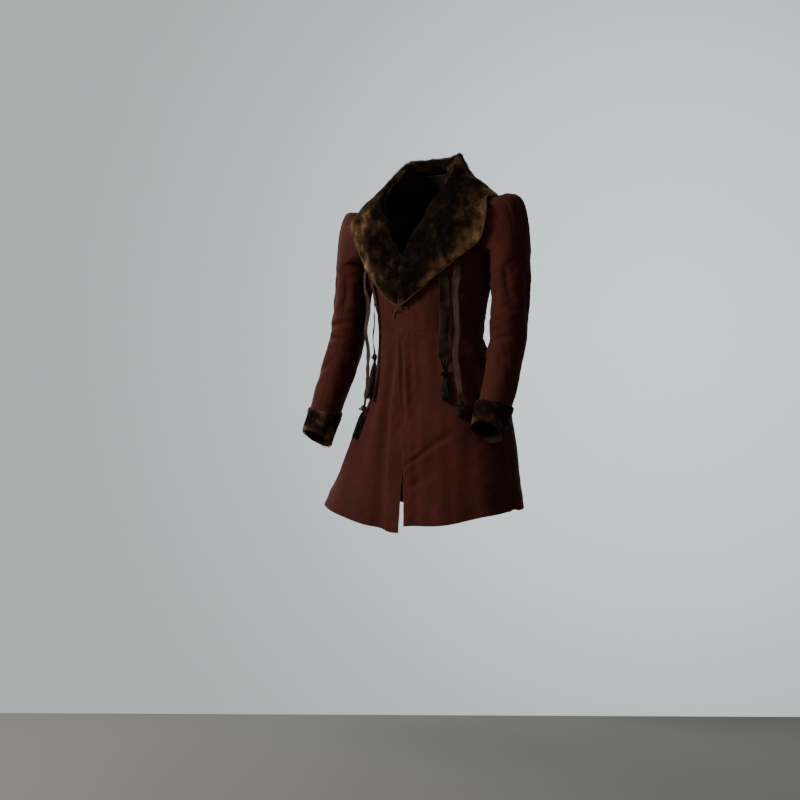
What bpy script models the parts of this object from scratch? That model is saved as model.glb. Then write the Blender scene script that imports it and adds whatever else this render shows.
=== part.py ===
"""A worn frock coat of the late 1820s: wool cloth walls, plush shawl collar and cuffs, tasselled ribbons.

Metres, +Z up. The origin is on the neck's axis, level with the seam at the nape, where the wearer's shoulders
hold the coat. The coat faces -Y, so the wearer's left is +X. A point of the cloth is given by its turn, in
degrees round from the front and positive to the wearer's left, its height, and how far it lies out of the form.
"""

import math

import bpy
import numpy as np

# Thicknesses and clearances
CLOTH = 0.0020
PLUSH = 0.0042
CUFF_PLUSH = 0.0032
RIBBON = 0.0010
CORD_RADIUS = 0.0015
SEAM = 0.0005  # each panel stops this far short of its seam line
SLEEVE_SEAM = 0.0009
LAP = 0.0040  # the left front lies this far out where it laps over the right one
COLLAR_LAP = 0.0060
HEAD_CLEAR = 0.0165  # least distance of the collar's face from the sleeve heads

# Heights
WAIST = -0.430
ARMPIT = -0.235
SHOULDER_TIP = -0.108
COLLAR_TIP = -0.362
LEAN = 0.055  # rise of the shoulders to the wearer's left, as a slope

# Mesh fineness
SIDE_COLUMNS = 9
BACK_COLUMNS = 8
SKIRT_COLUMNS = 12
SLEEVE_COLUMNS = 9
CUFF_COLUMNS = 20
COLLAR_COLUMNS = 16


def smooth(at, keys, values):
    """A smooth curve through the values, which never overshoots them."""
    keys, values = np.asarray(keys, float), np.asarray(values, float)
    step = np.diff(keys)
    rise = np.diff(values) / step
    turning = rise[:-1] * rise[1:]
    total = np.where(turning > 0, rise[:-1] + rise[1:], 1.0)
    inner = np.where(turning > 0, 2 * turning / total, 0.0)
    slope = np.concatenate([rise[:1], inner, rise[-1:]])
    at = np.clip(np.asarray(at, float), keys[0], keys[-1])
    i = np.clip(np.searchsorted(keys, at, side="right") - 1, 0, len(step) - 1)
    h = step[i]
    t = (at - keys[i]) / h
    return (
        (1 + 2 * t) * (1 - t) ** 2 * values[i]
        + t * (1 - t) ** 2 * h * slope[i]
        + t * t * (3 - 2 * t) * values[i + 1]
        + t * t * (t - 1) * h * slope[i + 1]
    )


class Table:
    """Rows of named columns, read as smooth curves along the first column."""

    def __init__(self, columns, rows):
        rows = sorted(rows)
        self.keys = [row[0] for row in rows]
        self.values = {name: [row[i] for row in rows] for i, name in enumerate(columns)}

    def __call__(self, column, at):
        return smooth(at, self.keys, self.values[column])


# The rings of the body: half-widths to the wearer's left and right, depths ahead of and behind the neck's axis,
# and how square each ring is, 2 being an ellipse. The hips swing left and the right skirt is kicked out.
RING = ("z", "left", "right", "front", "back", "square")
BODY = Table(
    RING,
    [
        (0.000, 0.076, 0.076, 0.062, 0.066, 2.0),
        (-0.030, 0.112, 0.112, 0.078, 0.086, 2.1),
        (-0.060, 0.150, 0.150, 0.092, 0.100, 2.3),
        (-0.088, 0.186, 0.186, 0.102, 0.109, 2.5),
        (-0.110, 0.197, 0.197, 0.109, 0.114, 2.6),
        (-0.160, 0.196, 0.196, 0.119, 0.118, 2.5),
        (-0.235, 0.184, 0.184, 0.126, 0.116, 2.4),
        (-0.300, 0.172, 0.172, 0.124, 0.108, 2.3),
        (-0.370, 0.156, 0.154, 0.117, 0.099, 2.2),
        (-0.430, 0.150, 0.148, 0.112, 0.096, 2.2),
        (-0.500, 0.178, 0.150, 0.116, 0.122, 2.2),
        (-0.600, 0.214, 0.172, 0.126, 0.160, 2.2),
        (-0.700, 0.230, 0.226, 0.134, 0.186, 2.2),
        (-0.800, 0.242, 0.284, 0.142, 0.206, 2.2),
        (-0.960, 0.262, 0.362, 0.152, 0.230, 2.2),
    ],
)
# The rings of the cape-like form that the collar's fall lies on
CAPE = Table(
    RING,
    [
        (0.045, 0.080, 0.080, 0.074, 0.074, 2.0),
        (0.010, 0.098, 0.098, 0.086, 0.086, 2.0),
        (-0.020, 0.121, 0.121, 0.095, 0.098, 2.1),
        (-0.050, 0.150, 0.150, 0.104, 0.110, 2.2),
        (-0.075, 0.176, 0.176, 0.111, 0.118, 2.4),
        (-0.100, 0.197, 0.197, 0.118, 0.123, 2.5),
        (-0.130, 0.206, 0.206, 0.125, 0.127, 2.5),
        (-0.180, 0.206, 0.206, 0.134, 0.127, 2.5),
        (-0.235, 0.196, 0.196, 0.139, 0.126, 2.4),
        (-0.300, 0.182, 0.182, 0.134, 0.118, 2.3),
        (-0.370, 0.163, 0.161, 0.125, 0.108, 2.2),
    ],
)

# Where the panels end, as turns by height. The left front laps over the right one down to where they part.
LEFT_EDGE = Table(
    ("z", "turn"),
    [
        (0.000, 81), (-0.015, 74), (-0.030, 67), (-0.060, 56), (-0.088, 45), (-0.120, 35), (-0.160, 24), (-0.200, 14),
        (-0.240, 5), (-0.300, -4), (-0.345, -11), (-0.390, -18), (-0.435, -17.6), (-0.500, -11.4),
        (-0.604, -5.5), (-0.682, -1.3), (-0.772, 2.9), (-0.862, 5.0), (-0.932, 6.6),
    ],
)
RIGHT_EDGE = Table(
    ("z", "turn"),
    [
        (0.000, -81), (-0.015, -74), (-0.030, -67), (-0.060, -56), (-0.088, -45), (-0.120, -35), (-0.160, -24), (-0.200, -14),
        (-0.240, -5), (-0.300, 4), (-0.362, 10), (-0.435, 12), (-0.500, 12), (-0.604, 10),
        (-0.682, 7), (-0.772, 2.5), (-0.862, 0.7), (-0.948, -0.3),
    ],
)
SIDE_SEAM = Table(
    ("z", "turn"),
    [(-0.235, 90), (-0.260, 95), (-0.300, 100), (-0.370, 105), (-0.430, 106), (-0.550, 98), (-0.650, 91), (-0.950, 89)],
)
HEM = Table(
    ("turn", "z"),
    [
        (-180, -0.922), (-120, -0.900), (-78, -0.900), (-64, -0.913), (-51, -0.926), (-33, -0.939), (-1, -0.948),
        (6, -0.932), (33, -0.926), (48, -0.919), (61, -0.909), (73, -0.898), (90, -0.887), (120, -0.892),
        (180, -0.922),
    ],
)
# The largest folds of the skirts: a trough has a depth above 0 and a ridge below 0
FOLD = ("turn", "spread", "top", "depth")
FOLDS = [
    (-142, 11, -0.47, -0.012),
    (-112, 9, -0.55, 0.010),
    (-66, 13, -0.62, -0.007),
    (-25, 12, -0.50, 0.013),
    (19, 9, -0.46, 0.005),
    (42, 9, -0.60, -0.005),
    (62, 11, -0.62, 0.007),
    (118, 10, -0.52, 0.009),
    (146, 11, -0.47, -0.012),
]

# Armholes: an oval hole round the side, in turn and height
ARMHOLE = {"turn": 90.0, "z": (ARMPIT + SHOULDER_TIP) / 2, "half_turn": 29.0, "half_height": (SHOULDER_TIP - ARMPIT) / 2}

# The sleeves' axes from the armhole to the wrist, with the half-widths of the tube sideways and fore-and-aft
ARM = ("along", "x", "y", "z", "wide", "deep")
LEFT_ARM = Table(
    ARM,
    [
        (0.20, 0.2455, -0.001, -0.222, 0.048, 0.068),
        (0.34, 0.2490, -0.004, -0.292, 0.047, 0.060),
        (0.60, 0.2510, -0.018, -0.425, 0.046, 0.054),
        (0.82, 0.2510, -0.056, -0.556, 0.043, 0.048),
        (1.00, 0.2440, -0.102, -0.667, 0.038, 0.042),
    ],
)
RIGHT_ARM = Table(
    ARM,
    [
        (0.20, -0.2470, 0.001, -0.240, 0.048, 0.068),
        (0.34, -0.2540, -0.001, -0.308, 0.047, 0.060),
        (0.60, -0.2720, -0.010, -0.440, 0.046, 0.054),
        (0.82, -0.2980, -0.044, -0.578, 0.043, 0.048),
        (1.00, -0.3200, -0.078, -0.700, 0.038, 0.042),
    ],
)
HEAD_END = 0.20  # the share of the sleeve taken by its gathered head
HEAD_RISE, HEAD_OUT = 0.080, 0.021  # how far the gathers lift the head's middle
WRIST_SLANT = 0.026  # the sleeve is this much longer behind than in front
FRONT_SEAM, BACK_SEAM = -14.0, 166.0  # turns round the left sleeve's axis
CUFF_FRONT, CUFF_BACK = 0.046, 0.076  # depths of the plush cuff
CUFF_BEYOND = 0.004
CUFF_OUT = 0.0014
ARM_LENGTH = 0.56

# The collar's roll line and outer edge, from the centre back (0) to the front end (1)
COLLAR = Table(
    ("along", "roll_turn", "roll_z", "left_turn", "left_z", "left_out", "right_turn", "right_z", "clear"),
    [
        (0.00, 180, 0.045, 180, -0.088, 0.000, 180, -0.088, 0.0080),
        (0.14, 150, 0.045, 150, -0.090, 0.000, 150, -0.090, 0.0080),
        (0.28, 118, 0.042, 118, -0.090, 0.000, 118, -0.090, 0.0080),
        (0.39, 92, 0.032, 100, -0.080, 0.000, 99, -0.084, 0.0085),
        (0.48, 74, 0.010, 87, -0.090, 0.000, 86, -0.094, 0.0130),
        (0.56, 58, -0.030, 77, -0.136, 0.019, 73, -0.138, 0.0125),
        (0.64, 43, -0.074, 70, -0.190, 0.026, 61, -0.200, 0.0105),
        (0.73, 31, -0.116, 55, -0.242, 0.008, 50, -0.258, 0.0120),
        (0.82, 20, -0.158, 38, -0.284, 0.000, 34, -0.310, 0.0120),
        (0.91, 10, -0.200, 16, -0.330, 0.000, 17, -0.347, 0.0110),
        (1.00, 1, -0.238, -7, -0.364, 0.000, -4, -0.362, 0.0110),
    ],
)
# Where the collar's foot meets the neckline, and how much of the roll is left there
COLLAR_FOOT = Table(
    ("along", "turn", "z", "out", "roll"),
    [
        (0.00, 180, 0.005, -0.001, 1.0),
        (0.14, 150, 0.005, -0.001, 1.0),
        (0.28, 118, 0.005, -0.001, 1.0),
        (0.39, 94, 0.005, -0.001, 1.0),
        (0.48, 75, 0.005, -0.001, 1.0),
        (0.56, 59, -0.024, -0.001, 1.0),
        (0.64, 45, -0.070, -0.001, 1.0),
        (0.73, 32, -0.116, 0.000, 1.0),
        (0.82, 21, -0.158, 0.001, 0.5),
        (0.88, 13, -0.188, 0.005, 0.0),
        (1.00, 1, -0.238, 0.008, 0.0),
    ],
)
ROLL_RADIUS = 0.0060
FALL_ROWS, ROLL_ROWS = 6, 3
ROLL_BEND = 150.0

# Ribbons: where each is sewn under the collar, how far down it hangs, its width, and its turn about its length
RIBBONS = [
    # name, turn, top, bottom, width, twist, clearance from the coat
    ("ribbon_left_front", 47, -0.258, -0.530, 0.025, 0, 0.0040),
    ("ribbon_left_back", 57, -0.225, -0.610, 0.019, 62, 0.0150),
    ("ribbon_right_front", -49, -0.282, -0.485, 0.021, 0, 0.0040),
    ("ribbon_right_back", -58, -0.222, -0.620, 0.016, -40, 0.0160),
]
TASSELS = {"ribbon_left_front": 0.078, "ribbon_left_back": 0.040, "ribbon_right_front": 0.115, "ribbon_right_back": 0.085}
TASSEL_SHAPE = [
    # share of the length, radius
    (0.00, 0.0035), (0.05, 0.0075), (0.16, 0.0080), (0.24, 0.0050), (0.32, 0.0078), (0.75, 0.0105), (1.00, 0.0115),
]
TASSEL_SIDES = 8
RIBBON_ROWS = 10
RIBBON_TOP_CLEAR = 0.0030
RIBBON_HANGS = 0.040  # below its top the ribbon lies on the coat this far, and then hangs plumb


def ring_point(table, turn, z):
    """A point of a form before anything is moved out of it. The lean lifts the wearer's left shoulder."""
    turn, z = np.broadcast_arrays(np.asarray(turn, float), np.asarray(z, float))
    side, ahead = np.sin(np.radians(turn)), np.cos(np.radians(turn))
    wide = np.where(side > 0, table("left", z), table("right", z))
    deep = np.where(ahead > 0, table("front", z), table("back", z))
    square = table("square", z)
    reach = (np.abs(side / wide) ** square + np.abs(ahead / deep) ** square) ** (-1 / square)
    x, y = reach * side, -reach * ahead
    return np.stack([x, y, z + LEAN * x * smooth(z, (WAIST, -0.10), (0, 1))], -1)


def on_form(table, turn, z, out=0.0):
    """Points of a form moved out of it along its normal."""
    turn, z, out = np.broadcast_arrays(*(np.asarray(value, float) for value in (turn, z, out)))
    step = 1e-4
    round_it = ring_point(table, turn + 1e2 * step, z) - ring_point(table, turn - 1e2 * step, z)
    upwards = ring_point(table, turn, z + step) - ring_point(table, turn, z - step)
    normal = np.cross(round_it, upwards)
    normal /= np.linalg.norm(normal, axis=-1, keepdims=True)
    return ring_point(table, turn, z) + normal * out[..., None]


def bump(offset, spread):
    """1 at no offset, falling softly to 0 at the spread and beyond."""
    return np.where(np.abs(offset) < spread, 0.5 + 0.5 * np.cos(np.pi * offset / spread), 0.0)


def folds(turn, z):
    """How far the skirts' folds move the cloth out."""
    moved = np.zeros(np.broadcast(turn, z).shape)
    for fold in (dict(zip(FOLD, row)) for row in FOLDS):
        drop = np.clip((fold["top"] - z) / (fold["top"] - HEM("z", fold["turn"])), 0, 1)
        moved -= fold["depth"] * drop * bump(turn - fold["turn"], fold["spread"] * (0.6 + 0.4 * drop))
    return moved


def lap(turn, z):
    """The left front rises over the right one near the front edge."""
    return smooth(turn, (12, 42), (1, 0))


def body(turn, z, out=0.0):
    return on_form(BODY, turn, z, out + folds(turn, z))


def between(start, end, count, ease=0.5):
    """count + 1 values from start to end, as a last axis, closer together at the ends."""
    share = np.linspace(0, 1, count + 1)
    share = share - ease * np.sin(2 * np.pi * share) / (2 * np.pi)
    return np.asarray(start, float)[..., None] * (1 - share) + np.asarray(end, float)[..., None] * share


def seam_inset(low, high, radius=0.15):
    """The two turns of a panel's edges, each drawn in by the seam clearance."""
    inset = math.degrees(SEAM / radius)
    return low + inset, high - inset


def clear_scene():
    for obj in list(bpy.data.objects):
        bpy.data.objects.remove(obj)


def material(name, colour, roughness):
    made = bpy.data.materials.new(name)
    made.use_nodes = True
    shader = made.node_tree.nodes["Principled BSDF"]
    shader.inputs["Base Color"].default_value = (*colour, 1.0)
    shader.inputs["Roughness"].default_value = roughness
    shader.inputs["Metallic"].default_value = 0.0
    return made


def collection(name):
    made = bpy.data.collections.new(name)
    bpy.context.scene.collection.children.link(made)
    return made


def wall(name, grid, thickness, stuff, side=-1, closed=False):
    """A cloth wall: an open surface over a grid of points, thickened to one side of it by Solidify.

    The grid's rows run upwards and its columns with rising turn, so its faces look out. A closed grid joins
    its last column to its first. side -1 thickens inwards and +1 outwards.
    """
    rows, columns = grid.shape[:2]
    span = columns if closed else columns - 1
    faces = [
        (i * columns + j, i * columns + (j + 1) % columns, (i + 1) * columns + (j + 1) % columns, (i + 1) * columns + j)
        for i in range(rows - 1)
        for j in range(span)
    ]
    mesh = bpy.data.meshes.new(name)
    mesh.from_pydata(grid.reshape(-1, 3).tolist(), [], faces)
    mesh.shade_smooth()
    obj = bpy.data.objects.new(name, mesh)
    COAT.objects.link(obj)
    mesh.materials.append(stuff)
    solid = obj.modifiers.new("thickness", "SOLIDIFY")
    solid.thickness = thickness
    solid.offset = side
    return obj


def cord(name, points, radius, stuff):
    """A round cord through the points."""
    curve = bpy.data.curves.new(name, "CURVE")
    curve.dimensions = "3D"
    curve.bevel_depth = radius
    curve.bevel_resolution = 1
    curve.use_fill_caps = True
    spline = curve.splines.new("POLY")
    spline.points.add(len(points) - 1)
    for point, place in zip(spline.points, points):
        point.co = (*place, 1.0)
    curve.materials.append(stuff)
    obj = bpy.data.objects.new(name, curve)
    COAT.objects.link(obj)
    return obj


# Body panels


def front_heights():
    """Heights of the bodice front's rows: through the armhole's ends, and closer at the shoulder."""
    below = np.linspace(WAIST + SEAM, ARMPIT, 6)
    beside = ARMHOLE["z"] - ARMHOLE["half_height"] * np.cos(np.linspace(0, np.pi, 7)[1:])
    above = np.linspace(SHOULDER_TIP, 0.0, 5)[1:]
    return np.concatenate([below, beside, above])


def armhole_turn(z):
    """How far the armhole reaches from its middle, in degrees, at a height. 0 above and below it."""
    share = np.clip((z - ARMHOLE["z"]) / ARMHOLE["half_height"], -1, 1)
    return ARMHOLE["half_turn"] * np.sqrt(1 - share**2)


def side_limit(z):
    """The turn of the side seam, or above the armpit the armhole's middle."""
    return np.where(z < ARMPIT, SIDE_SEAM("turn", z), ARMHOLE["turn"])


def bodice_front(side):
    z = front_heights()
    outer = side_limit(z) - armhole_turn(z)
    if side > 0:
        low, high = seam_inset(LEFT_EDGE("turn", z), outer)
    else:
        low, high = seam_inset(-outer, RIGHT_EDGE("turn", z))
    turn = between(low, high, SIDE_COLUMNS)
    z = np.broadcast_to(z[:, None], turn.shape)
    return body(turn, z, lap(turn, z) * LAP if side > 0 else 0.0)


def skirt_front(side):
    """From the waist seam to the hem, and from the front edge to the pleat at the side."""
    drop = np.linspace(1, 0, 9)[:, None]
    # The hem hangs lower or higher with the turn, so the turns are found at level heights first.
    level = WAIST + (HEM("z", 0) - WAIST) * drop[:, 0]
    outer = SIDE_SEAM("turn", level)
    if side > 0:
        low, high = seam_inset(LEFT_EDGE("turn", level), outer)
    else:
        low, high = seam_inset(-outer, RIGHT_EDGE("turn", level))
    turn = between(low, high, SKIRT_COLUMNS)
    top = WAIST - SEAM
    z = top + (HEM("z", turn) - top) * drop
    return body(turn, z, lap(turn, z) * LAP if side > 0 else 0.0)


def back(side):
    """One length from the nape to the hem. Below the waist it runs on under the front skirt as the pleat."""
    skirt = np.array([1.0, 0.88, 0.75, 0.62, 0.49, 0.36, 0.24, 0.14, 0.06, 0.0])[:, None]
    level = WAIST + (HEM("z", 180) - WAIST) * skirt[:, 0]
    upper = front_heights()[1:]
    heights = np.concatenate([level, upper])
    underlay = smooth(heights, (-0.62, -0.47), (7, 0))
    inner = np.where(heights < ARMPIT, side_limit(heights) - underlay, ARMHOLE["turn"] + armhole_turn(heights))
    low, high = seam_inset(inner, 180.0)
    turn = between(low, high, BACK_COLUMNS) * side
    hem_share = np.concatenate([skirt[:, 0], np.zeros(len(upper))])[:, None]
    z = np.where(hem_share > 0, WAIST + (HEM("z", turn) - WAIST) * hem_share, heights[:, None])
    z = z + 0.0 * turn
    tucked = smooth(z, (-0.48, WAIST), (1, 0)) * smooth(np.abs(turn) - SIDE_SEAM("turn", z), (0, 12), (1, 0))
    grid = body(turn, z, -0.0075 * tucked)
    return grid if side > 0 else grid[:, ::-1]


# Sleeves


def arm_frame(table, along):
    """The sleeve's centre and its sideways, forward and lengthwise directions at places along it."""
    step = 1e-3

    def centre(at):
        return np.stack([table(axis, at) for axis in ("x", "y", "z")], -1)

    along = np.asarray(along, float)
    middle = np.clip(along, step, 1 - step)
    down = centre(middle + step) - centre(middle - step)
    down /= np.linalg.norm(down, axis=-1, keepdims=True)
    ahead = np.broadcast_to([0.0, -1.0, 0.0], down.shape)
    ahead = ahead - down * (ahead * down).sum(-1, keepdims=True)
    ahead /= np.linalg.norm(ahead, axis=-1, keepdims=True)
    beyond = np.maximum(along - 1, 0)[..., None] * ARM_LENGTH
    return centre(along) + down * beyond, np.cross(ahead, down), ahead, down


def armhole_point(side, turn):
    """The armhole's curve on the body, just inside the hole, at a turn round the sleeve's axis."""
    angle = np.radians(turn * side)
    inside = 0.965
    hole_turn = ARMHOLE["turn"] - inside * ARMHOLE["half_turn"] * np.cos(angle)
    hole_z = ARMHOLE["z"] + inside * ARMHOLE["half_height"] * np.sin(angle)
    return ring_point(BODY, side * hole_turn, hole_z)


def sleeve_point(side, turn, along, out=0.0):
    """A point of a sleeve: turn 0 is in front, 90 is on the wearer's left, and along runs from 0 to 1."""
    table = LEFT_ARM if side > 0 else RIGHT_ARM
    turn, along = np.broadcast_arrays(np.asarray(turn, float), np.asarray(along, float))
    on_tube = np.maximum(along, HEAD_END)
    centre, left, ahead, down = arm_frame(table, on_tube)
    angle = np.radians(turn)[..., None]
    wide, deep = (table(name, on_tube)[..., None] + out for name in ("wide", "deep"))
    slant = 0.5 * WRIST_SLANT * (1 - np.cos(angle)) * np.clip((along[..., None] - 0.5) * 2, 0, 1)
    tube = centre + left * wide * np.sin(angle) + ahead * deep * np.cos(angle) + down * slant
    leave = np.clip(along / HEAD_END, 0, 1)[..., None]
    over = np.clip(0.15 + 0.85 * side * np.sin(angle), 0, 1) ** 0.8
    puff = np.sin(np.pi * leave**1.15) * over
    lifted = np.array([side * HEAD_OUT, 0.0, HEAD_RISE]) * puff
    return armhole_point(side, turn) * (1 - leave) + tube * leave + lifted


def sleeve(side, upper):
    """The upper sleeve is the outer half, from the front seam to the back one, and the under sleeve the inner."""
    turns = (FRONT_SEAM, BACK_SEAM) if upper else (BACK_SEAM, FRONT_SEAM + 360)
    low, high = sorted(side * turn for turn in turns)
    inset = math.degrees(SLEEVE_SEAM / 0.045)
    along = np.array([1.0, 0.90, 0.80, 0.69, 0.58, 0.47, 0.37, 0.28, 0.22, 0.17, 0.12, 0.07, 0.03, 0.0])
    turn = between(low + inset, high - inset, SLEEVE_COLUMNS)
    return sleeve_point(side, turn[None, :], along[:, None])


def cuff(side):
    """A plush band round the end of the sleeve, deeper behind."""
    turn = np.arange(0, 360, 360 / CUFF_COLUMNS)[None, :]
    rise = np.linspace(0, 1, 4)[:, None]
    depth = CUFF_FRONT + (CUFF_BACK - CUFF_FRONT) * (1 - np.cos(np.radians(turn))) / 2
    along = 1.0 + CUFF_BEYOND - depth / ARM_LENGTH * rise
    return sleeve_point(side, turn, along, CUFF_OUT)


# Collar


def body_distance(points):
    """How far points lie out of the body's form, nearly."""
    lean = LEAN * points[..., 0] * smooth(points[..., 2], (WAIST, -0.10), (0, 1))
    turn = np.degrees(np.arctan2(points[..., 0], -points[..., 1]))
    z = np.minimum(points[..., 2] - lean, 0.0)
    on_body = on_form(BODY, turn, z)
    normal = (on_form(BODY, turn, z, 0.001) - on_body) / 0.001
    return ((points - on_body) * normal).sum(-1), normal


def pushed_clear(points, least):
    """The points, moved out of the body's form where they lie closer to it than they may."""
    for _ in range(3):
        distance, normal = body_distance(points)
        points = points + normal * np.maximum(least - distance, 0.0)[..., None]
    return points


def clear_of_head(side, points):
    """The points, moved out where they lie too close to the sleeve's gathered head."""
    turn = np.arange(0.0, 360.0, 6.0)[None, :]
    along = np.linspace(0.005, HEAD_END * 1.2, 30)[:, None]
    head = sleeve_point(side, turn, along)
    round_it = sleeve_point(side, turn + 1.0, along) - sleeve_point(side, turn - 1.0, along)
    lengthwise = sleeve_point(side, turn, along + 0.003) - sleeve_point(side, turn, along - 0.003)
    normal = unit(np.cross(lengthwise, round_it)).reshape(-1, 3)
    head = head.reshape(-1, 3)
    for _ in range(12):
        apart = np.linalg.norm(points[:, None, :] - head[None, :, :], axis=-1)
        nearest = apart.argmin(1)
        away = ((points - head[nearest]) * normal[nearest]).sum(-1)
        need = np.where(apart.min(1) < 0.045, np.maximum(HEAD_CLEAR - away, 0.0), 0.0)
        points = points + normal[nearest] * np.minimum(need, 0.015)[:, None]
    return points


def collar_lift(side, along):
    """The left collar end rides over the right one."""
    return COLLAR_LAP * smooth(along, (0.74, 0.86), (0, 1)) if side > 0 else 0.0 * along


def fall_point(side, along, share):
    """A point of the collar's fall: share is 0 at the roll line and 1 at the outer edge."""
    edge = "left" if side > 0 else "right"
    edge_turn, edge_z = COLLAR(edge + "_turn", along), COLLAR(edge + "_z", along)
    # The right end runs on a little under the left one.
    roll_turn = COLLAR("roll_turn", along) - (4 * smooth(along, (0.85, 1), (0, 1)) if side < 0 else 0.0)
    turn = roll_turn + (edge_turn - roll_turn) * share
    z = COLLAR("roll_z", along) * (1 - share) + edge_z * share
    out = COLLAR("left_out", along) * share**2 if side > 0 else 0.0
    clear = pushed_clear(on_form(CAPE, side * turn, z, out), COLLAR("clear", along))
    clear = clear_of_head(side, clear)
    _, normal = body_distance(clear)
    return clear + normal * collar_lift(side, along)[..., None]


def unit(vectors):
    return vectors / np.linalg.norm(vectors, axis=-1, keepdims=True)


def collar_grid(side):
    """The fall from the outer edge up to the roll, round it, and down the stand to the neckline."""
    along = np.linspace(0, 1, COLLAR_COLUMNS + 1)
    length = np.linalg.norm(fall_point(side, along, 0.0) - fall_point(side, along, 1.0), axis=-1)
    first = ROLL_RADIUS / length
    rows = [fall_point(side, along, first + (1 - first) * share) for share in np.linspace(1, 0, FALL_ROWS + 1)]
    start = rows[-1]
    inward = unit(start - fall_point(side, along, first + 0.03))
    outward = unit(np.cross(np.gradient(start, axis=0), inward) * -side)
    foot = on_form(BODY, side * COLLAR_FOOT("turn", along), COLLAR_FOOT("z", along), COLLAR_FOOT("out", along))
    roll = COLLAR_FOOT("roll", along)[:, None]
    bend = math.radians(ROLL_BEND) * np.maximum(roll, 0.03)
    arc = ROLL_RADIUS * math.radians(ROLL_BEND) * (roll + 0.35 * (1 - roll))
    for step in range(1, ROLL_ROWS + 1):
        angle = bend * step / ROLL_ROWS
        rows.append(start + (inward * np.sin(angle) - outward * (1 - np.cos(angle))) * arc / bend)
    onward = inward * np.cos(bend) - outward * np.sin(bend)
    lip = rows[-1] + onward * 0.002
    rows.append(foot * roll + lip * (1 - roll))
    grid = np.array(rows)
    grid[:, 0, 0] = side * SEAM
    return grid[:, ::-1] if side > 0 else grid


def collar_cord(side):
    """The cord along the collar's outer edge."""
    grid = collar_grid(side)
    edge = grid[0]
    beyond = unit(edge - grid[1])
    outward = unit(np.cross(np.gradient(edge, axis=0), -beyond))
    points = edge + beyond * (CORD_RADIUS + 0.0021) - outward * PLUSH * 0.25
    nape = 0 if side < 0 else -1
    points[nape] = points[nape] * 0.75 + points[nape + (1 if side < 0 else -1)] * 0.25
    return points


# Ribbons


def ribbon_path(row):
    """The ribbon's middle line and its two directions: it hangs plumb, or lies on the skirt where that is further out."""
    name, turn, top, bottom, width, twist, clear = row
    z = np.linspace(bottom, top, RIBBON_ROWS + 1)
    path = body(turn, np.maximum(z, top - RIBBON_HANGS), RIBBON_TOP_CLEAR)
    path[:, 2] += np.minimum(z - (top - RIBBON_HANGS), 0.0)
    for _ in range(3):
        at = np.degrees(np.arctan2(path[:, 0], -path[:, 1]))
        surface = body(at, z)
        out = np.hypot(path[:, 0], path[:, 1]) - np.hypot(surface[:, 0], surface[:, 1])
        share = np.clip((top - z) / 0.08, 0, 1)
        need = np.maximum(RIBBON_TOP_CLEAR + (clear - RIBBON_TOP_CLEAR) * share - out, 0.0)
        away = unit(path * [1, 1, 0])
        path = path + away * need[:, None]
    angle = math.radians(twist) * np.clip((top - z) / 0.12, 0, 1)[:, None]
    away = unit(path * [1, 1, 0])
    across = np.cross([0.0, 0.0, 1.0], away)
    return path, across * np.cos(angle) + away * np.sin(angle), away * np.cos(angle) - across * np.sin(angle)


def ribbon(row):
    path, across, _ = ribbon_path(row)
    half = row[4] / 2
    share = np.array([-1.0, 0.0, 1.0])
    return path[:, None, :] + across[:, None, :] * (half * share)[None, :, None]


def tassel(row, length):
    """Rings of a tassel hanging under a ribbon's end: a knot, a neck and a skirt of threads."""
    path, across, away = ribbon_path(row)
    end = path[0] - [0.0, 0.0, 0.0012]
    rings = []
    for share, reach in TASSEL_SHAPE:
        centre = end - [0.0, 0.0, length * share]
        surface = body(row[1], centre[2])
        need = np.hypot(surface[0], surface[1]) + reach + 0.0035 - np.hypot(centre[0], centre[1])
        centre = centre + unit(centre * [1, 1, 0]) * max(need, 0.0)
        angle = np.linspace(0, -2 * np.pi, TASSEL_SIDES, endpoint=False)[:, None]
        rings.append(centre + reach * (across[0] * np.cos(angle) + 0.8 * away[0] * np.sin(angle)))
    return np.array(rings)


def solid_rings(name, rings, stuff):
    """A closed body through rings of points, capped at both ends."""
    count, sides = rings.shape[:2]
    faces = [
        (i * sides + j, (i + 1) * sides + j, (i + 1) * sides + (j + 1) % sides, i * sides + (j + 1) % sides)
        for i in range(count - 1)
        for j in range(sides)
    ]
    faces += [tuple(range(sides)), tuple(reversed(range((count - 1) * sides, count * sides)))]
    mesh = bpy.data.meshes.new(name)
    mesh.from_pydata(rings.reshape(-1, 3).tolist(), [], faces)
    obj = bpy.data.objects.new(name, mesh)
    COAT.objects.link(obj)
    mesh.materials.append(stuff)
    return obj


COAT = None


def build():
    global COAT
    clear_scene()
    COAT = collection("frock_coat")
    wool = material("wool", (0.050, 0.013, 0.010), 0.85)
    plush = material("plush", (0.050, 0.028, 0.012), 0.70)
    silk = material("silk", (0.035, 0.022, 0.016), 0.50)
    cord_stuff = material("cord", (0.110, 0.065, 0.035), 0.60)
    for side, word in ((1, "left"), (-1, "right")):
        wall(f"bodice_front_{word}", bodice_front(side), CLOTH, wool)
        wall(f"skirt_front_{word}", skirt_front(side), CLOTH, wool)
        wall(f"back_{word}", back(side), CLOTH, wool)
        wall(f"sleeve_upper_{word}", sleeve(side, True), CLOTH, wool)
        wall(f"sleeve_under_{word}", sleeve(side, False), CLOTH, wool)
        wall(f"cuff_{word}", cuff(side), CUFF_PLUSH, plush, side=1, closed=True)
        wall(f"collar_{word}", collar_grid(side), PLUSH, plush)
        cord(f"collar_cord_{word}", collar_cord(side), CORD_RADIUS, cord_stuff)
    for row in RIBBONS:
        wall(row[0], ribbon(row), RIBBON, silk, side=1)
        solid_rings(row[0].replace("ribbon", "tassel"), tassel(row, TASSELS[row[0]]), silk)


build()
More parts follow.
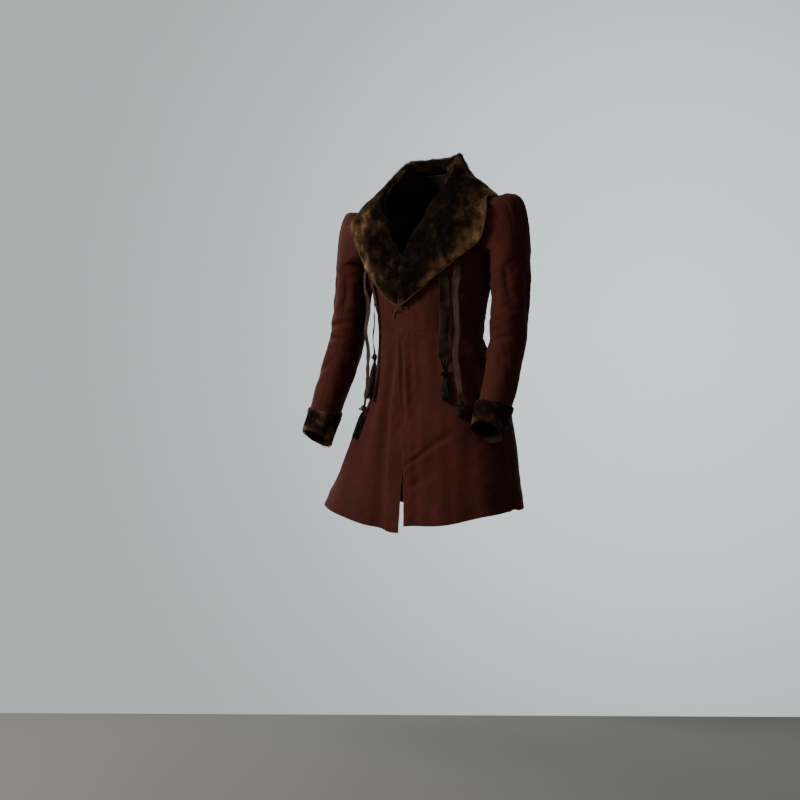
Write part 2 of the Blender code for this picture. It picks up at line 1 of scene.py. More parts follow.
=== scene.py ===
"""The looks of a worn frock coat: maroon wool, crushed plush collar and cuffs, silk ribbons and tassels.

Metres, +Z up, the coat faces -Y and the wearer's left is +X. A point of the body's cloth is given by its
turn, in degrees round from the front and positive to the wearer's left, and its height. A point of a sleeve
is given by its turn round the sleeve and its share of the way from the armhole to the wrist.
"""

import math
from collections import namedtuple

import bpy
import numpy as np
from mathutils import Matrix


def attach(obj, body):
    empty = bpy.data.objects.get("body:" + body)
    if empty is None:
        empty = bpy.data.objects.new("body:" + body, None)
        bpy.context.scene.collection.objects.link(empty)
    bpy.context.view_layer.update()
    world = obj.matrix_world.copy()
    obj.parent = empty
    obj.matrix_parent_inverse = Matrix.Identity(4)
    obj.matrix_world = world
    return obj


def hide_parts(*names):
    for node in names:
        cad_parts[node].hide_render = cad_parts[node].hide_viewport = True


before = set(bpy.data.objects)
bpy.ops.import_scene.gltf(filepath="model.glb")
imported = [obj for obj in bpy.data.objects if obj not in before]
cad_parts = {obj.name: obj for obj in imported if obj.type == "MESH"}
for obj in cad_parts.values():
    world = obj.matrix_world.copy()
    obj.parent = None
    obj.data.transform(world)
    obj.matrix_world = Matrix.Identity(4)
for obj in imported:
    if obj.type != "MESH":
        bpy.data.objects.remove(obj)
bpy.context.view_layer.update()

CLOTH = 0.0018  # thickness of the wool with its lining
SILK_THICK = 0.00045
WAIST = -0.43
WAIST_OVERLAP = 0.0002
HEM_WAVE = 0.0012
ARMPIT = -0.235
SHOULDER_TIP = -0.108
LEAN, LEAN_TOP = 0.055, -0.1  # rise per metre towards the wearer's left, and where it is in full
LAP = 0.004  # how far the left front lies over the right one
COLLAR_LAP = 0.006
HEAD_CLEAR = 0.015  # from the collar to a sleeve's gathered head
FACING = 0.055  # width of the wool facing inside the front edges


def smooth(at, keys, values):
    """A smooth curve through the values, which never overshoots them."""
    keys, values = np.asarray(keys, float), np.asarray(values, float)
    step = np.diff(keys)
    rise = np.diff(values) / step
    turning = rise[:-1] * rise[1:]
    total = np.where(turning > 0, rise[:-1] + rise[1:], 1.0)
    inner = np.where(turning > 0, 2 * turning / total, 0.0)
    slope = np.concatenate([rise[:1], inner, rise[-1:]])
    at = np.clip(np.asarray(at, float), keys[0], keys[-1])
    i = np.clip(np.searchsorted(keys, at, side="right") - 1, 0, len(step) - 1)
    h = step[i]
    t = (at - keys[i]) / h
    return (
        (1 + 2 * t) * (1 - t) ** 2 * values[i]
        + t * (1 - t) ** 2 * h * slope[i]
        + t * t * (3 - 2 * t) * values[i + 1]
        + t * t * (t - 1) * h * slope[i + 1]
    )


class Table:
    """Rows of named columns, read as smooth curves along the first column."""

    def __init__(self, columns, rows):
        rows = sorted(rows)
        self.keys = [row[0] for row in rows]
        self.values = {name: [row[i] for row in rows] for i, name in enumerate(columns)}

    def __call__(self, column, at):
        return smooth(at, self.keys, self.values[column])


RING = ("z", "left", "right", "front", "back", "square")
BODY = Table(
    RING,
    [
        (0.0, 0.076, 0.076, 0.062, 0.066, 2.0),
        (-0.03, 0.112, 0.112, 0.078, 0.086, 2.1),
        (-0.06, 0.15, 0.15, 0.092, 0.1, 2.3),
        (-0.088, 0.186, 0.186, 0.102, 0.109, 2.5),
        (-0.11, 0.197, 0.197, 0.109, 0.114, 2.6),
        (-0.16, 0.196, 0.196, 0.119, 0.118, 2.5),
        (-0.235, 0.184, 0.184, 0.126, 0.116, 2.4),
        (-0.3, 0.172, 0.172, 0.124, 0.108, 2.3),
        (-0.37, 0.156, 0.154, 0.117, 0.099, 2.2),
        (-0.43, 0.15, 0.148, 0.112, 0.096, 2.2),
        (-0.5, 0.178, 0.15, 0.116, 0.122, 2.2),
        (-0.6, 0.214, 0.172, 0.126, 0.16, 2.2),
        (-0.7, 0.23, 0.226, 0.134, 0.186, 2.2),
        (-0.8, 0.242, 0.284, 0.142, 0.206, 2.2),
        (-0.96, 0.262, 0.362, 0.152, 0.23, 2.2),
    ],
)
CAPE = Table(
    RING,
    [
        (0.045, 0.08, 0.08, 0.074, 0.074, 2.0),
        (0.01, 0.098, 0.098, 0.086, 0.086, 2.0),
        (-0.02, 0.121, 0.121, 0.095, 0.098, 2.1),
        (-0.05, 0.15, 0.15, 0.104, 0.11, 2.2),
        (-0.075, 0.176, 0.176, 0.111, 0.118, 2.4),
        (-0.1, 0.197, 0.197, 0.118, 0.123, 2.5),
        (-0.13, 0.206, 0.206, 0.125, 0.127, 2.5),
        (-0.18, 0.206, 0.206, 0.134, 0.127, 2.5),
        (-0.235, 0.196, 0.196, 0.139, 0.126, 2.4),
        (-0.3, 0.182, 0.182, 0.134, 0.118, 2.3),
        (-0.37, 0.163, 0.161, 0.125, 0.108, 2.2),
    ],
)
NECKLINE = [
    # z, turn
    (0.0, 81), (-0.015, 74), (-0.03, 67), (-0.06, 56), (-0.088, 45), (-0.12, 35), (-0.16, 24),
    (-0.2, 14), (-0.24, 5),
]
LEFT_EDGE = Table(
    ("z", "turn"),
    NECKLINE
    + [
        (-0.3, -4), (-0.345, -11), (-0.39, -18), (-0.435, -17.6), (-0.5, -11.4), (-0.604, -5.5),
        (-0.682, -1.3), (-0.772, 2.9), (-0.862, 5.0), (-0.932, 6.6),
    ],
)
RIGHT_EDGE = Table(
    ("z", "turn"),
    [(z, -turn) for z, turn in NECKLINE]
    + [
        (-0.3, 4), (-0.362, 10), (-0.435, 12), (-0.5, 12), (-0.604, 10), (-0.682, 7), (-0.772, 2.5),
        (-0.862, 0.7), (-0.948, -0.3),
    ],
)
SIDE_SEAM = Table(
    ("z", "turn"),
    [
        (-0.235, 90), (-0.26, 95), (-0.3, 100), (-0.37, 105), (-0.43, 106), (-0.55, 98), (-0.65, 91),
        (-0.95, 89),
    ],
)
HEM = Table(
    ("turn", "z"),
    [
        (-180, -0.9175), (-150, -0.914), (-120, -0.9), (-78, -0.9), (-64, -0.913), (-51, -0.926),
        (-33, -0.939), (-1, -0.948), (6, -0.932), (33, -0.926), (48, -0.919), (61, -0.909), (73, -0.898),
        (90, -0.887), (120, -0.893), (150, -0.912), (180, -0.9175),
    ],
)
FOLDS = [
    # turn, spread, top, depth
    (-142, 11, -0.47, -0.012),
    (-112, 9, -0.55, 0.01),
    (-66, 13, -0.62, -0.007),
    (-25, 12, -0.5, 0.013),
    (19, 9, -0.46, 0.005),
    (42, 9, -0.6, -0.005),
    (62, 11, -0.62, 0.007),
    (118, 10, -0.52, 0.009),
    (146, 11, -0.47, -0.012),
]
HOLE_TURN, HOLE_HALF_TURN = 90.0, 29.0
HOLE_Z, HOLE_HALF_HEIGHT = (ARMPIT + SHOULDER_TIP) / 2, (SHOULDER_TIP - ARMPIT) / 2
HOLE_EASE = 1.05  # a sleeve's head is a little larger than its armhole
HOLE_IN = -0.0036
ARM = ("along", "x", "y", "z", "wide", "deep")
LEFT_ARM = Table(
    ARM,
    [
        (0.2, 0.2455, -0.001, -0.222, 0.048, 0.068),
        (0.34, 0.249, -0.004, -0.292, 0.047, 0.06),
        (0.6, 0.251, -0.018, -0.425, 0.046, 0.054),
        (0.82, 0.251, -0.056, -0.556, 0.043, 0.048),
        (1.0, 0.244, -0.102, -0.667, 0.038, 0.042),
    ],
)
RIGHT_ARM = Table(
    ARM,
    [
        (0.2, -0.247, 0.001, -0.24, 0.048, 0.068),
        (0.34, -0.254, -0.001, -0.308, 0.047, 0.06),
        (0.6, -0.272, -0.01, -0.44, 0.046, 0.054),
        (0.82, -0.298, -0.044, -0.578, 0.043, 0.048),
        (1.0, -0.32, -0.078, -0.7, 0.038, 0.042),
    ],
)
HEAD_END = 0.2
HEAD_RISE, HEAD_OUT = 0.08, 0.021
WRIST_SLANT = 0.026
FRONT_SEAM, BACK_SEAM = -14.0, 166.0  # turns round a sleeve
CUFF_FRONT, CUFF_BACK = 0.046, 0.076
CUFF_BEYOND = 0.004
CUFF_OUT = 0.0014
ARM_LENGTH = 0.56
COLLAR = Table(
    ("along", "roll_turn", "roll_z", "left_turn", "left_z", "left_out", "right_turn", "right_z", "clear"),
    [
        (0.0, 180, 0.045, 180, -0.088, 0.0, 180, -0.088, 0.008),
        (0.14, 150, 0.045, 150, -0.09, 0.0, 150, -0.09, 0.008),
        (0.28, 118, 0.042, 118, -0.09, 0.0, 118, -0.09, 0.008),
        (0.39, 92, 0.032, 100, -0.08, 0.0, 99, -0.084, 0.0085),
        (0.48, 74, 0.01, 87, -0.09, 0.0, 86, -0.094, 0.013),
        (0.56, 58, -0.03, 77, -0.136, 0.019, 73, -0.138, 0.0125),
        (0.64, 43, -0.074, 70, -0.19, 0.026, 61, -0.2, 0.0105),
        (0.73, 31, -0.116, 55, -0.242, 0.008, 50, -0.258, 0.012),
        (0.82, 20, -0.158, 38, -0.284, 0.0, 34, -0.31, 0.012),
        (0.91, 10, -0.2, 16, -0.33, 0.0, 17, -0.347, 0.011),
        (1.0, 1, -0.238, -7, -0.364, 0.0, -4, -0.362, 0.011),
    ],
)
COLLAR_FOOT = Table(
    ("along", "turn", "z", "out", "roll"),
    [
        (0.0, 180, 0.005, -0.001, 1.0),
        (0.14, 150, 0.005, -0.001, 1.0),
        (0.28, 118, 0.005, -0.001, 1.0),
        (0.39, 94, 0.005, -0.001, 1.0),
        (0.48, 75, 0.005, -0.001, 1.0),
        (0.56, 59, -0.024, -0.001, 1.0),
        (0.64, 45, -0.07, -0.001, 1.0),
        (0.73, 32, -0.116, 0.0, 1.0),
        (0.82, 21, -0.158, 0.001, 0.5),
        (0.88, 13, -0.188, 0.005, 0.0),
        (1.0, 1, -0.238, 0.008, 0.0),
    ],
)
COLLAR_THICK, CUFF_THICK = 0.0042, 0.0028
COLLAR_HAIRS, CUFF_HAIRS = 40000, 12000
ROLL_RADIUS = 0.006
ROLL_BEND = 150.0
# Where a ribbon hangs, its width and twist, how far it is from the coat and how long its tassel is
Ribbon = namedtuple("Ribbon", "place turn top bottom width twist clear tassel")
RIBBONS = [
    Ribbon("left_front", 47, -0.258, -0.53, 0.027, 0, 0.004, 0.078),
    Ribbon("left_back", 57, -0.225, -0.61, 0.019, 62, 0.015, 0.04),
    Ribbon("right_front", -49, -0.282, -0.485, 0.021, 0, 0.004, 0.115),
    Ribbon("right_back", -58, -0.222, -0.62, 0.016, -40, 0.016, 0.085),
]
RIBBON_TOP_CLEAR = 0.003
RIBBON_HANGS = 0.04
RIBBON_ROWS = 120
CORD_RADIUS, CORD_PITCH = 0.00175, 0.005
LONG_TASSEL = 0.05


def word(side):
    return "left" if side > 0 else "right"


# Forms


def unit(vectors):
    return vectors / np.maximum(np.linalg.norm(vectors, axis=-1, keepdims=True), 1e-9)


def ring_point(table, turn, z):
    """A point of a form before anything is moved out of it. The lean lifts the wearer's left shoulder."""
    turn, z = np.broadcast_arrays(np.asarray(turn, float), np.asarray(z, float))
    side, ahead = np.sin(np.radians(turn)), np.cos(np.radians(turn))
    wide = np.where(side > 0, table("left", z), table("right", z))
    deep = np.where(ahead > 0, table("front", z), table("back", z))
    square = table("square", z)
    reach = (np.abs(side / wide) ** square + np.abs(ahead / deep) ** square) ** (-1 / square)
    x, y = reach * side, -reach * ahead
    return np.stack([x, y, z + LEAN * x * smooth(z, (WAIST, LEAN_TOP), (0, 1))], -1)


def normals(place, a, b, step_a, step_b):
    """Unit normals of place(a, b), pointing out where b rises upwards and a rises with the turn."""
    along_a = place(a + step_a, b) - place(a - step_a, b)
    along_b = place(a, b + step_b) - place(a, b - step_b)
    return unit(np.cross(along_a, along_b))


def on_form(table, turn, z, out=0.0):
    """Points of a form moved out of it along its normal."""
    turn, z, out = np.broadcast_arrays(*(np.asarray(value, float) for value in (turn, z, out)))

    def place(at_turn, at_z):
        return ring_point(table, at_turn, at_z)

    return place(turn, z) + normals(place, turn, z, 0.01, 1e-4) * out[..., None]


def bump(offset, spread):
    """1 at no offset, falling softly to 0 at the spread and beyond."""
    return np.where(np.abs(offset) < spread, 0.5 + 0.5 * np.cos(np.pi * offset / spread), 0.0)


def folds(turn, z):
    """How far the skirts' folds move the cloth out."""
    moved = np.zeros(np.broadcast(turn, z).shape)
    for at, spread, top, depth in FOLDS:
        drop = np.clip((top - z) / (top - HEM("z", at)), 0, 1)
        moved -= depth * drop * bump(turn - at, spread * (0.6 + 0.4 * drop))
    return moved


def body(turn, z, out=0.0):
    return on_form(BODY, turn, z, out + folds(turn, z))


def armhole_turn(z):
    share = np.clip((z - HOLE_Z) / HOLE_HALF_HEIGHT, -1, 1)
    return HOLE_HALF_TURN * np.sqrt(1 - share**2)


def side_limit(z):
    return np.where(z < ARMPIT, SIDE_SEAM("turn", z), HOLE_TURN)


def arm_frame(table, along):
    """The sleeve's centre and its sideways, forward and lengthwise directions at places along it."""
    step = 1e-3

    def centre(at):
        return np.stack([table(axis, at) for axis in ("x", "y", "z")], -1)

    along = np.asarray(along, float)
    middle = np.clip(along, step, 1 - step)
    down = unit(centre(middle + step) - centre(middle - step))
    ahead = np.broadcast_to([0.0, -1.0, 0.0], down.shape)
    ahead = unit(ahead - down * (ahead * down).sum(-1, keepdims=True))
    beyond = np.maximum(along - 1, 0)[..., None] * ARM_LENGTH
    return centre(along) + down * beyond, np.cross(ahead, down), ahead, down


def armhole_point(side, turn):
    angle = np.radians(turn * side)
    hole_turn = HOLE_TURN - HOLE_EASE * HOLE_HALF_TURN * np.cos(angle)
    hole_z = HOLE_Z + HOLE_EASE * HOLE_HALF_HEIGHT * np.sin(angle)
    return on_form(BODY, side * hole_turn, hole_z, HOLE_IN)


def sleeve_point(side, turn, along, out=0.0):
    """A point of a sleeve: turn 0 is in front, 90 is on the wearer's left, and along runs from 0 to 1."""
    table = LEFT_ARM if side > 0 else RIGHT_ARM
    turn, along = np.broadcast_arrays(np.asarray(turn, float), np.asarray(along, float))
    on_tube = np.maximum(along, HEAD_END)
    centre, left, ahead, down = arm_frame(table, on_tube)
    angle = np.radians(turn)[..., None]
    wide, deep = (table(name, on_tube)[..., None] + out for name in ("wide", "deep"))
    slant = 0.5 * WRIST_SLANT * (1 - np.cos(angle)) * np.clip((along[..., None] - 0.5) * 2, 0, 1)
    tube = centre + left * wide * np.sin(angle) + ahead * deep * np.cos(angle) + down * slant
    leave = np.clip(along / HEAD_END, 0, 1)[..., None]
    over = np.clip(0.15 + 0.85 * side * np.sin(angle), 0, 1) ** 0.8
    puff = np.sin(np.pi * leave**1.15) * over
    lifted = np.array([side * HEAD_OUT, 0.0, HEAD_RISE]) * puff
    return armhole_point(side, turn) * (1 - leave) + tube * leave + lifted


def body_distance(points):
    """How far points lie out of the body's form, nearly, and the form's normals there."""
    lean = LEAN * points[..., 0] * smooth(points[..., 2], (WAIST, LEAN_TOP), (0, 1))
    turn = np.degrees(np.arctan2(points[..., 0], -points[..., 1]))
    z = np.minimum(points[..., 2] - lean, 0.0)
    on_body = on_form(BODY, turn, z)
    normal = (on_form(BODY, turn, z, 0.001) - on_body) / 0.001
    return ((points - on_body) * normal).sum(-1), normal


def clear_of_head(side, points):
    """The points, moved out where they lie too close to the sleeve's gathered head."""
    turn = np.arange(0.0, 360.0, 6.0)[None, :]
    along = np.linspace(0.005, HEAD_END * 1.2, 30)[:, None]
    head = sleeve_point(side, turn, along)
    round_it = sleeve_point(side, turn + 1.0, along) - sleeve_point(side, turn - 1.0, along)
    lengthwise = sleeve_point(side, turn, along + 0.003) - sleeve_point(side, turn, along - 0.003)
    normal = unit(np.cross(lengthwise, round_it)).reshape(-1, 3)
    head = head.reshape(-1, 3)
    for _ in range(10):
        apart = np.linalg.norm(points[:, None, :] - head[None, :, :], axis=-1)
        nearest = apart.argmin(1)
        away = ((points - head[nearest]) * normal[nearest]).sum(-1)
        near = smooth(apart.min(1), (0.03, 0.046), (1, 0))
        need = near * np.maximum(HEAD_CLEAR - away, 0.0)
        points = points + normal[nearest] * np.minimum(need, 0.015)[:, None]
    return points


def collar_lift(side, along):
    return COLLAR_LAP * smooth(along, (0.74, 0.86), (0, 1)) if side > 0 else 0.0 * along


def fall_point(side, along, share):
    """A point of the collar's fall: share is 0 at the roll line and 1 at the outer edge."""
    edge = "left" if side > 0 else "right"
    edge_turn, edge_z = COLLAR(edge + "_turn", along), COLLAR(edge + "_z", along)
    roll_turn = COLLAR("roll_turn", along) - (4 * smooth(along, (0.85, 1), (0, 1)) if side < 0 else 0.0)
    turn = roll_turn + (edge_turn - roll_turn) * share
    z = COLLAR("roll_z", along) * (1 - share) + edge_z * share
    points = on_form(CAPE, side * turn, z, COLLAR("left_out", along) * share**2 if side > 0 else 0.0)
    for _ in range(3):
        distance, normal = body_distance(points)
        points = points + normal * np.maximum(COLLAR("clear", along) - distance, 0.0)[..., None]
    points = clear_of_head(side, points)
    _, normal = body_distance(points)
    return points + normal * collar_lift(side, along)[..., None]


# Creases


def waves(points, size, seed, count=9):
    """Smooth random numbers of about -1 to 1, the same each run. size is the usual length of a wave."""
    rng = np.random.default_rng(seed)
    points = np.asarray(points, float)
    total = np.zeros(points.shape[:-1])
    for _ in range(count):
        direction = rng.normal(size=points.shape[-1])
        direction /= np.linalg.norm(direction)
        rate = 2 * np.pi / (size * rng.uniform(0.7, 1.5))
        total += np.sin(points @ direction * rate + rng.uniform(0, 2 * np.pi))
    return total / math.sqrt(count * 0.7)


def strokes(x, y, table):
    """Soft creases on cloth laid flat, x and y in metres: rows of start, end, bow, width and depth in mm."""
    moved = np.zeros(np.broadcast(x, y).shape)
    for x0, y0, x1, y1, bow, width, depth in np.array(table) / 1000:
        length = math.hypot(x1 - x0, y1 - y0)
        ux, uy = (x1 - x0) / length, (y1 - y0) / length
        s = ((x - x0) * ux + (y - y0) * uy) / length
        bend = bow * 4 * s * (1 - s)
        q = ((x - x0) * -uy + (y - y0) * ux - bend) / (width * (0.7 + 0.5 * np.clip(s, 0, 1)))
        taper = np.where((s > 0) & (s < 1), np.sin(np.pi * np.clip(s, 0, 1) ** 0.8) ** 0.9, 0.0)
        banks = 0.45 * np.exp(-((q - 1.9) ** 2)) + 0.25 * np.exp(-((q + 2.1) ** 2))
        moved -= depth * taper * (np.exp(-(q**2)) - banks)
    return moved


# On the body: x is the turn in degrees times 2.6 mm, and y is the height, both in mm.
DEGREE = 0.0026
BODY_STROKES = [
    # The skirt's left front: a drag line from the front edge up to the hip, and a soft fold beside the edge
    (8, -778, 142, -680, -5, 6.5, 5.6),
    (30, -742, 120, -690, -4, 8, 2.6),
    (20, -832, 100, -780, -4, 12, 2.2),
    (-26, -436, 6, -700, 4, 9.5, 8),
    (16, -440, 34, -760, 5, 13, 4.2),
    (40, -440, 56, -640, 4, 16, 3.4),
    (100, -442, 122, -590, -4, 14, 3),
    (175, -450, 182, -800, 6, 18, 5),
    # The bodice's left front
    (-30, -372, 40, -418, 4, 8, 2.4),
    (70, -300, 190, -262, -6, 10, 3.4),
    (110, -345, 230, -300, -6, 11, 3),
    (150, -400, 250, -360, 4, 9, 2.4),
    (20, -330, 60, -420, 4, 10, 2.2),
    # The bodice's right front
    (-240, -300, -120, -340, 6, 10, 3.2),
    (-250, -355, -130, -385, -5, 9, 2.6),
    (-110, -330, -70, -420, 4, 10, 2.4),
    # The skirt's right front
    (-58, -436, -70, -910, -6, 18, 7.8),
    (-98, -442, -120, -800, -6, 13, 3.8),
    (-130, -445, -150, -700, 8, 15, 3.4),
    (-215, -460, -200, -860, -8, 18, 5),
    # The back
    (300, -180, 440, -235, 8, 12, 3.4),
    (-300, -190, -430, -250, -8, 12, 3.2),
    (290, -290, 420, -330, -6, 10, 3),
    (-290, -300, -400, -350, 6, 10, 2.8),
    (285, -400, 400, -410, 4, 10, 3),
    (-290, -405, -420, -395, 4, 10, 2.8),
    (330, -450, 318, -800, 8, 18, 6),
    (-345, -455, -335, -840, -10, 19, 6),
    (405, -470, 420, -880, 6, 20, 5.5),
    (-410, -470, -425, -860, 8, 18, 5),
]
# On a sleeve: x is the turn in degrees times 0.85 mm, and y is the way along times 560 mm, both in mm.
SLEEVE_DEGREE = 0.00085
SLEEVE_STROKES = {
    1: [
        (-40, 300, 50, 335, 5, 8, 4.6),
        (-35, 345, 40, 352, -4, 7, 4),
        (-20, 375, 55, 350, 4, 7, 3.4),
        (0, 270, 70, 290, 4, 9, 3),
        (20, 150, 40, 290, 6, 10, 3.6),
        (60, 130, 75, 260, -6, 11, 3.4),
        (95, 140, 85, 310, 6, 12, 3),
        (-10, 400, 40, 440, -4, 8, 2.6),
        (30, 410, 80, 470, 4, 9, 2.4),
        (120, 170, 130, 330, 5, 12, 3),
        (-120, 180, -110, 330, 5, 12, 3),
        (-90, 330, -30, 380, 5, 9, 3),
    ],
    -1: [
        (40, 290, -55, 330, 5, 8, 4.4),
        (30, 340, -50, 345, -4, 7, 4),
        (35, 380, -40, 355, 4, 7, 3.2),
        (-20, 140, -35, 280, 6, 10, 3.8),
        (15, 160, 5, 290, -6, 10, 3.4),
        (-65, 135, -80, 270, -6, 11, 3.4),
        (-100, 140, -92, 320, 6, 12, 3),
        (10, 400, -45, 445, -4, 8, 2.8),
        (-125, 170, -132, 330, 5, 12, 3),
        (110, 180, 105, 330, 5, 12, 2.8),
    ],
}


def body_crease(turn, z):
    """How far creases move the body's cloth out: drawn ones, and a faint unevenness."""
    x = turn * DEGREE
    flat = np.stack([x, z], -1)
    moved = strokes(x, z, BODY_STROKES)
    moved += 0.0012 * waves(flat * [1.0, 0.45], 0.085, 3) + 0.0004 * waves(flat, 0.028, 4)
    waist = np.exp(-(((z - WAIST) / 0.02) ** 2))
    return moved + 0.0008 * waist * waves(flat * [1.0, 0.15], 0.016, 5)


def sleeve_crease(side, turn, along):
    """How far creases move a sleeve's cloth out: wrinkles, unevenness, and gathers in the head."""
    wrapped = (turn + 180.0) % 360.0 - 180.0
    x, y = wrapped * SLEEVE_DEGREE, along * ARM_LENGTH
    flat = np.stack([np.cos(np.radians(turn)), np.sin(np.radians(turn)), y / 0.05], -1)
    moved = strokes(x, y, SLEEVE_STROKES[side])
    moved += 0.0011 * waves(flat, 1.2, 11 + side) + 0.0004 * waves(flat, 0.45, 15 + side)
    rng = np.random.default_rng(40 + side)
    outwards = (turn * side) % 360.0
    at = 8.0
    while at < 172.0:
        spread, depth, reach = rng.uniform(3.6, 7.5), rng.uniform(0.0012, 0.0042), rng.uniform(0.1, 0.27)
        drift = rng.uniform(-18.0, 18.0) * along
        fade = smooth(along, (0.0, 0.02, 0.06, reach), (0.4, 1.0, 0.8, 0.0))
        off = outwards - at - drift
        moved -= depth * fade * (bump(off, spread) - 0.3 * bump(off - spread, spread))
        at += rng.uniform(6.5, 17.0)
    return moved


# Cloth


def arc(points, axis):
    """Lengths along a grid's rows or columns, from the first point."""
    step = np.linalg.norm(np.diff(points, axis=axis), axis=-1)
    return np.concatenate([np.zeros_like(step.take([0], axis)), np.cumsum(step, axis)], axis)


def shares(count, width, fine=(0.0, 0.0005, 0.0012, 0.0024, 0.0045)):
    """Shares from 0 to 1 across cloth of that width, with finer steps near both ends."""
    ends = np.array(fine) / width
    middle = np.linspace(ends[-1], 1 - ends[-1], count)
    return np.concatenate([ends[:-1], middle, 1 - ends[:-1][::-1]])


def roll_off(distance, radius):
    """How far cloth has turned in at a distance from an edge that rolls in with a radius."""
    d = np.clip(distance, 0, radius)
    return radius - np.sqrt(radius**2 - (radius - d) ** 2)


def placed(name, data):
    """A new object in the scene."""
    obj = bpy.data.objects.new(name, data)
    bpy.context.scene.collection.objects.link(obj)
    return obj


def finish_mesh(name, vertices, faces, stuffs, values, indices=None):
    """A mesh object with its materials, face by face, and named values for each point."""
    mesh = bpy.data.meshes.new(name)
    mesh.from_pydata(vertices.reshape(-1, 3).tolist(), [], faces)
    for stuff in stuffs:
        mesh.materials.append(stuff)
    if indices is not None:
        mesh.polygons.foreach_set("material_index", np.asarray(indices, np.int32))
    for key, value in values.items():
        value = np.asarray(value, np.float32)
        kind = "FLOAT_VECTOR" if value.ndim == 2 else "FLOAT"
        made = mesh.attributes.new(key, kind, "POINT")
        made.data.foreach_set("vector" if value.ndim == 2 else "value", value.ravel())
    mesh.shade_smooth()
    mesh.update()
    obj = placed(name, mesh)
    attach(obj, "root")
    return obj


def stand_for(piece, node):
    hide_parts(node)
    return piece


def shell(name, outer, inner, stuffs, values, facing=None, closed=False):
    """A closed wall between two grids of points. Rows run upwards and columns with rising turn."""
    rows, columns = outer.shape[:2]
    index = np.arange(rows * columns).reshape(rows, columns)
    if closed:
        index = np.concatenate([index, index[:, :1]], 1)
    o, i = index, index + rows * columns

    def quads(a, b, c, d):
        return np.stack([a, b, c, d], -1).reshape(-1, 4)

    front = quads(o[:-1, :-1], o[:-1, 1:], o[1:, 1:], o[1:, :-1])
    behind = quads(i[:-1, :-1], i[1:, :-1], i[1:, 1:], i[:-1, 1:])
    rims = [
        quads(o[0, 1:], o[0, :-1], i[0, :-1], i[0, 1:]),
        quads(o[-1, :-1], o[-1, 1:], i[-1, 1:], i[-1, :-1]),
    ]
    if not closed:
        rims.append(quads(o[:-1, 0], o[1:, 0], i[1:, 0], i[:-1, 0]))
        rims.append(quads(o[1:, -1], o[:-1, -1], i[:-1, -1], i[1:, -1]))
    rims = np.concatenate(rims)
    inside = np.ones(len(behind), int)
    if facing is not None:
        inside = np.where(facing[:-1, :-1].ravel(), 0, 1)
    indices = np.concatenate([np.zeros(len(front), int), inside, np.zeros(len(rims), int)])
    faces = np.concatenate([front, behind, rims]).tolist()
    doubled = {key: np.concatenate([value.reshape(rows * columns, -1)] * 2) for key, value in values.items()}
    doubled = {key: value if value.shape[1] == 3 else value[:, 0] for key, value in doubled.items()}
    vertices = np.concatenate([outer.reshape(-1, 3), inner.reshape(-1, 3)])
    return finish_mesh(name, vertices, faces, stuffs, doubled, indices)


SEAM_ROLL, PLEAT_ROLL = 0.002, 0.0045


def cloth(name, place, a, b, steps, out, edges, facing_edge=None):
    """A cloth panel over place(a, b), moved out by out. edges names how its sides end.

    A seam rolls in to meet its neighbour, a pleat rolls in further, an open edge is pressed thin and round,
    and a side that another piece covers has none of these.
    """
    base, normal = place(a, b), normals(place, a, b, *steps)
    bare = base + normal * out[..., None]
    across, up = arc(bare, 1), arc(bare, 0)
    distance = {"low": across, "high": across[:, -1:] - across, "bottom": up, "top": up[-1:] - up}
    run = {"low": up, "high": up, "bottom": across, "top": across}
    drop, pinch = np.zeros(a.shape), np.zeros(a.shape)
    seam, rim, along_rim = np.full(a.shape, 1.0), np.full(a.shape, 1.0), np.zeros(a.shape)
    flat = bare.reshape(a.shape + (3,))
    for side, kind in edges.items():
        d = distance[side]
        weight = kind[1] if isinstance(kind, tuple) else 1.0
        kind = kind[0] if isinstance(kind, tuple) else kind
        if kind in ("seam", "pleat"):
            radius = SEAM_ROLL if kind == "seam" else PLEAT_ROLL
            drop = np.maximum(drop, roll_off(d, radius) * weight)
            pucker = 0.00045 * waves(flat, 0.013, 21) + 0.0003 * waves(flat, 0.006, 22)
            drop = drop + pucker * np.exp(-((d / 0.01) ** 2)) * np.clip(d / 0.001, 0, 1)
            seam = np.minimum(seam, d)
        if kind == "open":
            pinch = np.maximum(pinch, np.clip(1 - d / 0.0016, 0, 1) ** 2)
            drop = drop + 0.0009 * waves(flat, 0.07, 23) * np.exp(-((d / 0.03) ** 2))
            near = d < rim
            rim, along_rim = np.minimum(rim, d), np.where(near, run[side], along_rim)
    outer = base + normal * (out - drop - 0.4 * CLOTH * pinch)[..., None]
    inner = base + normal * (out - drop - CLOTH * (1 - 0.35 * pinch))[..., None]
    values = {
        "cloth": np.stack([across - across.mean(1, keepdims=True), up, 0 * up], -1),
        "seam": seam,
        "rim": rim,
        "run": along_rim,
    }
    facing = None if facing_edge is None else distance[facing_edge] < FACING
    return shell(name, outer, inner, [WOOL, LINING], values, facing)


# Materials


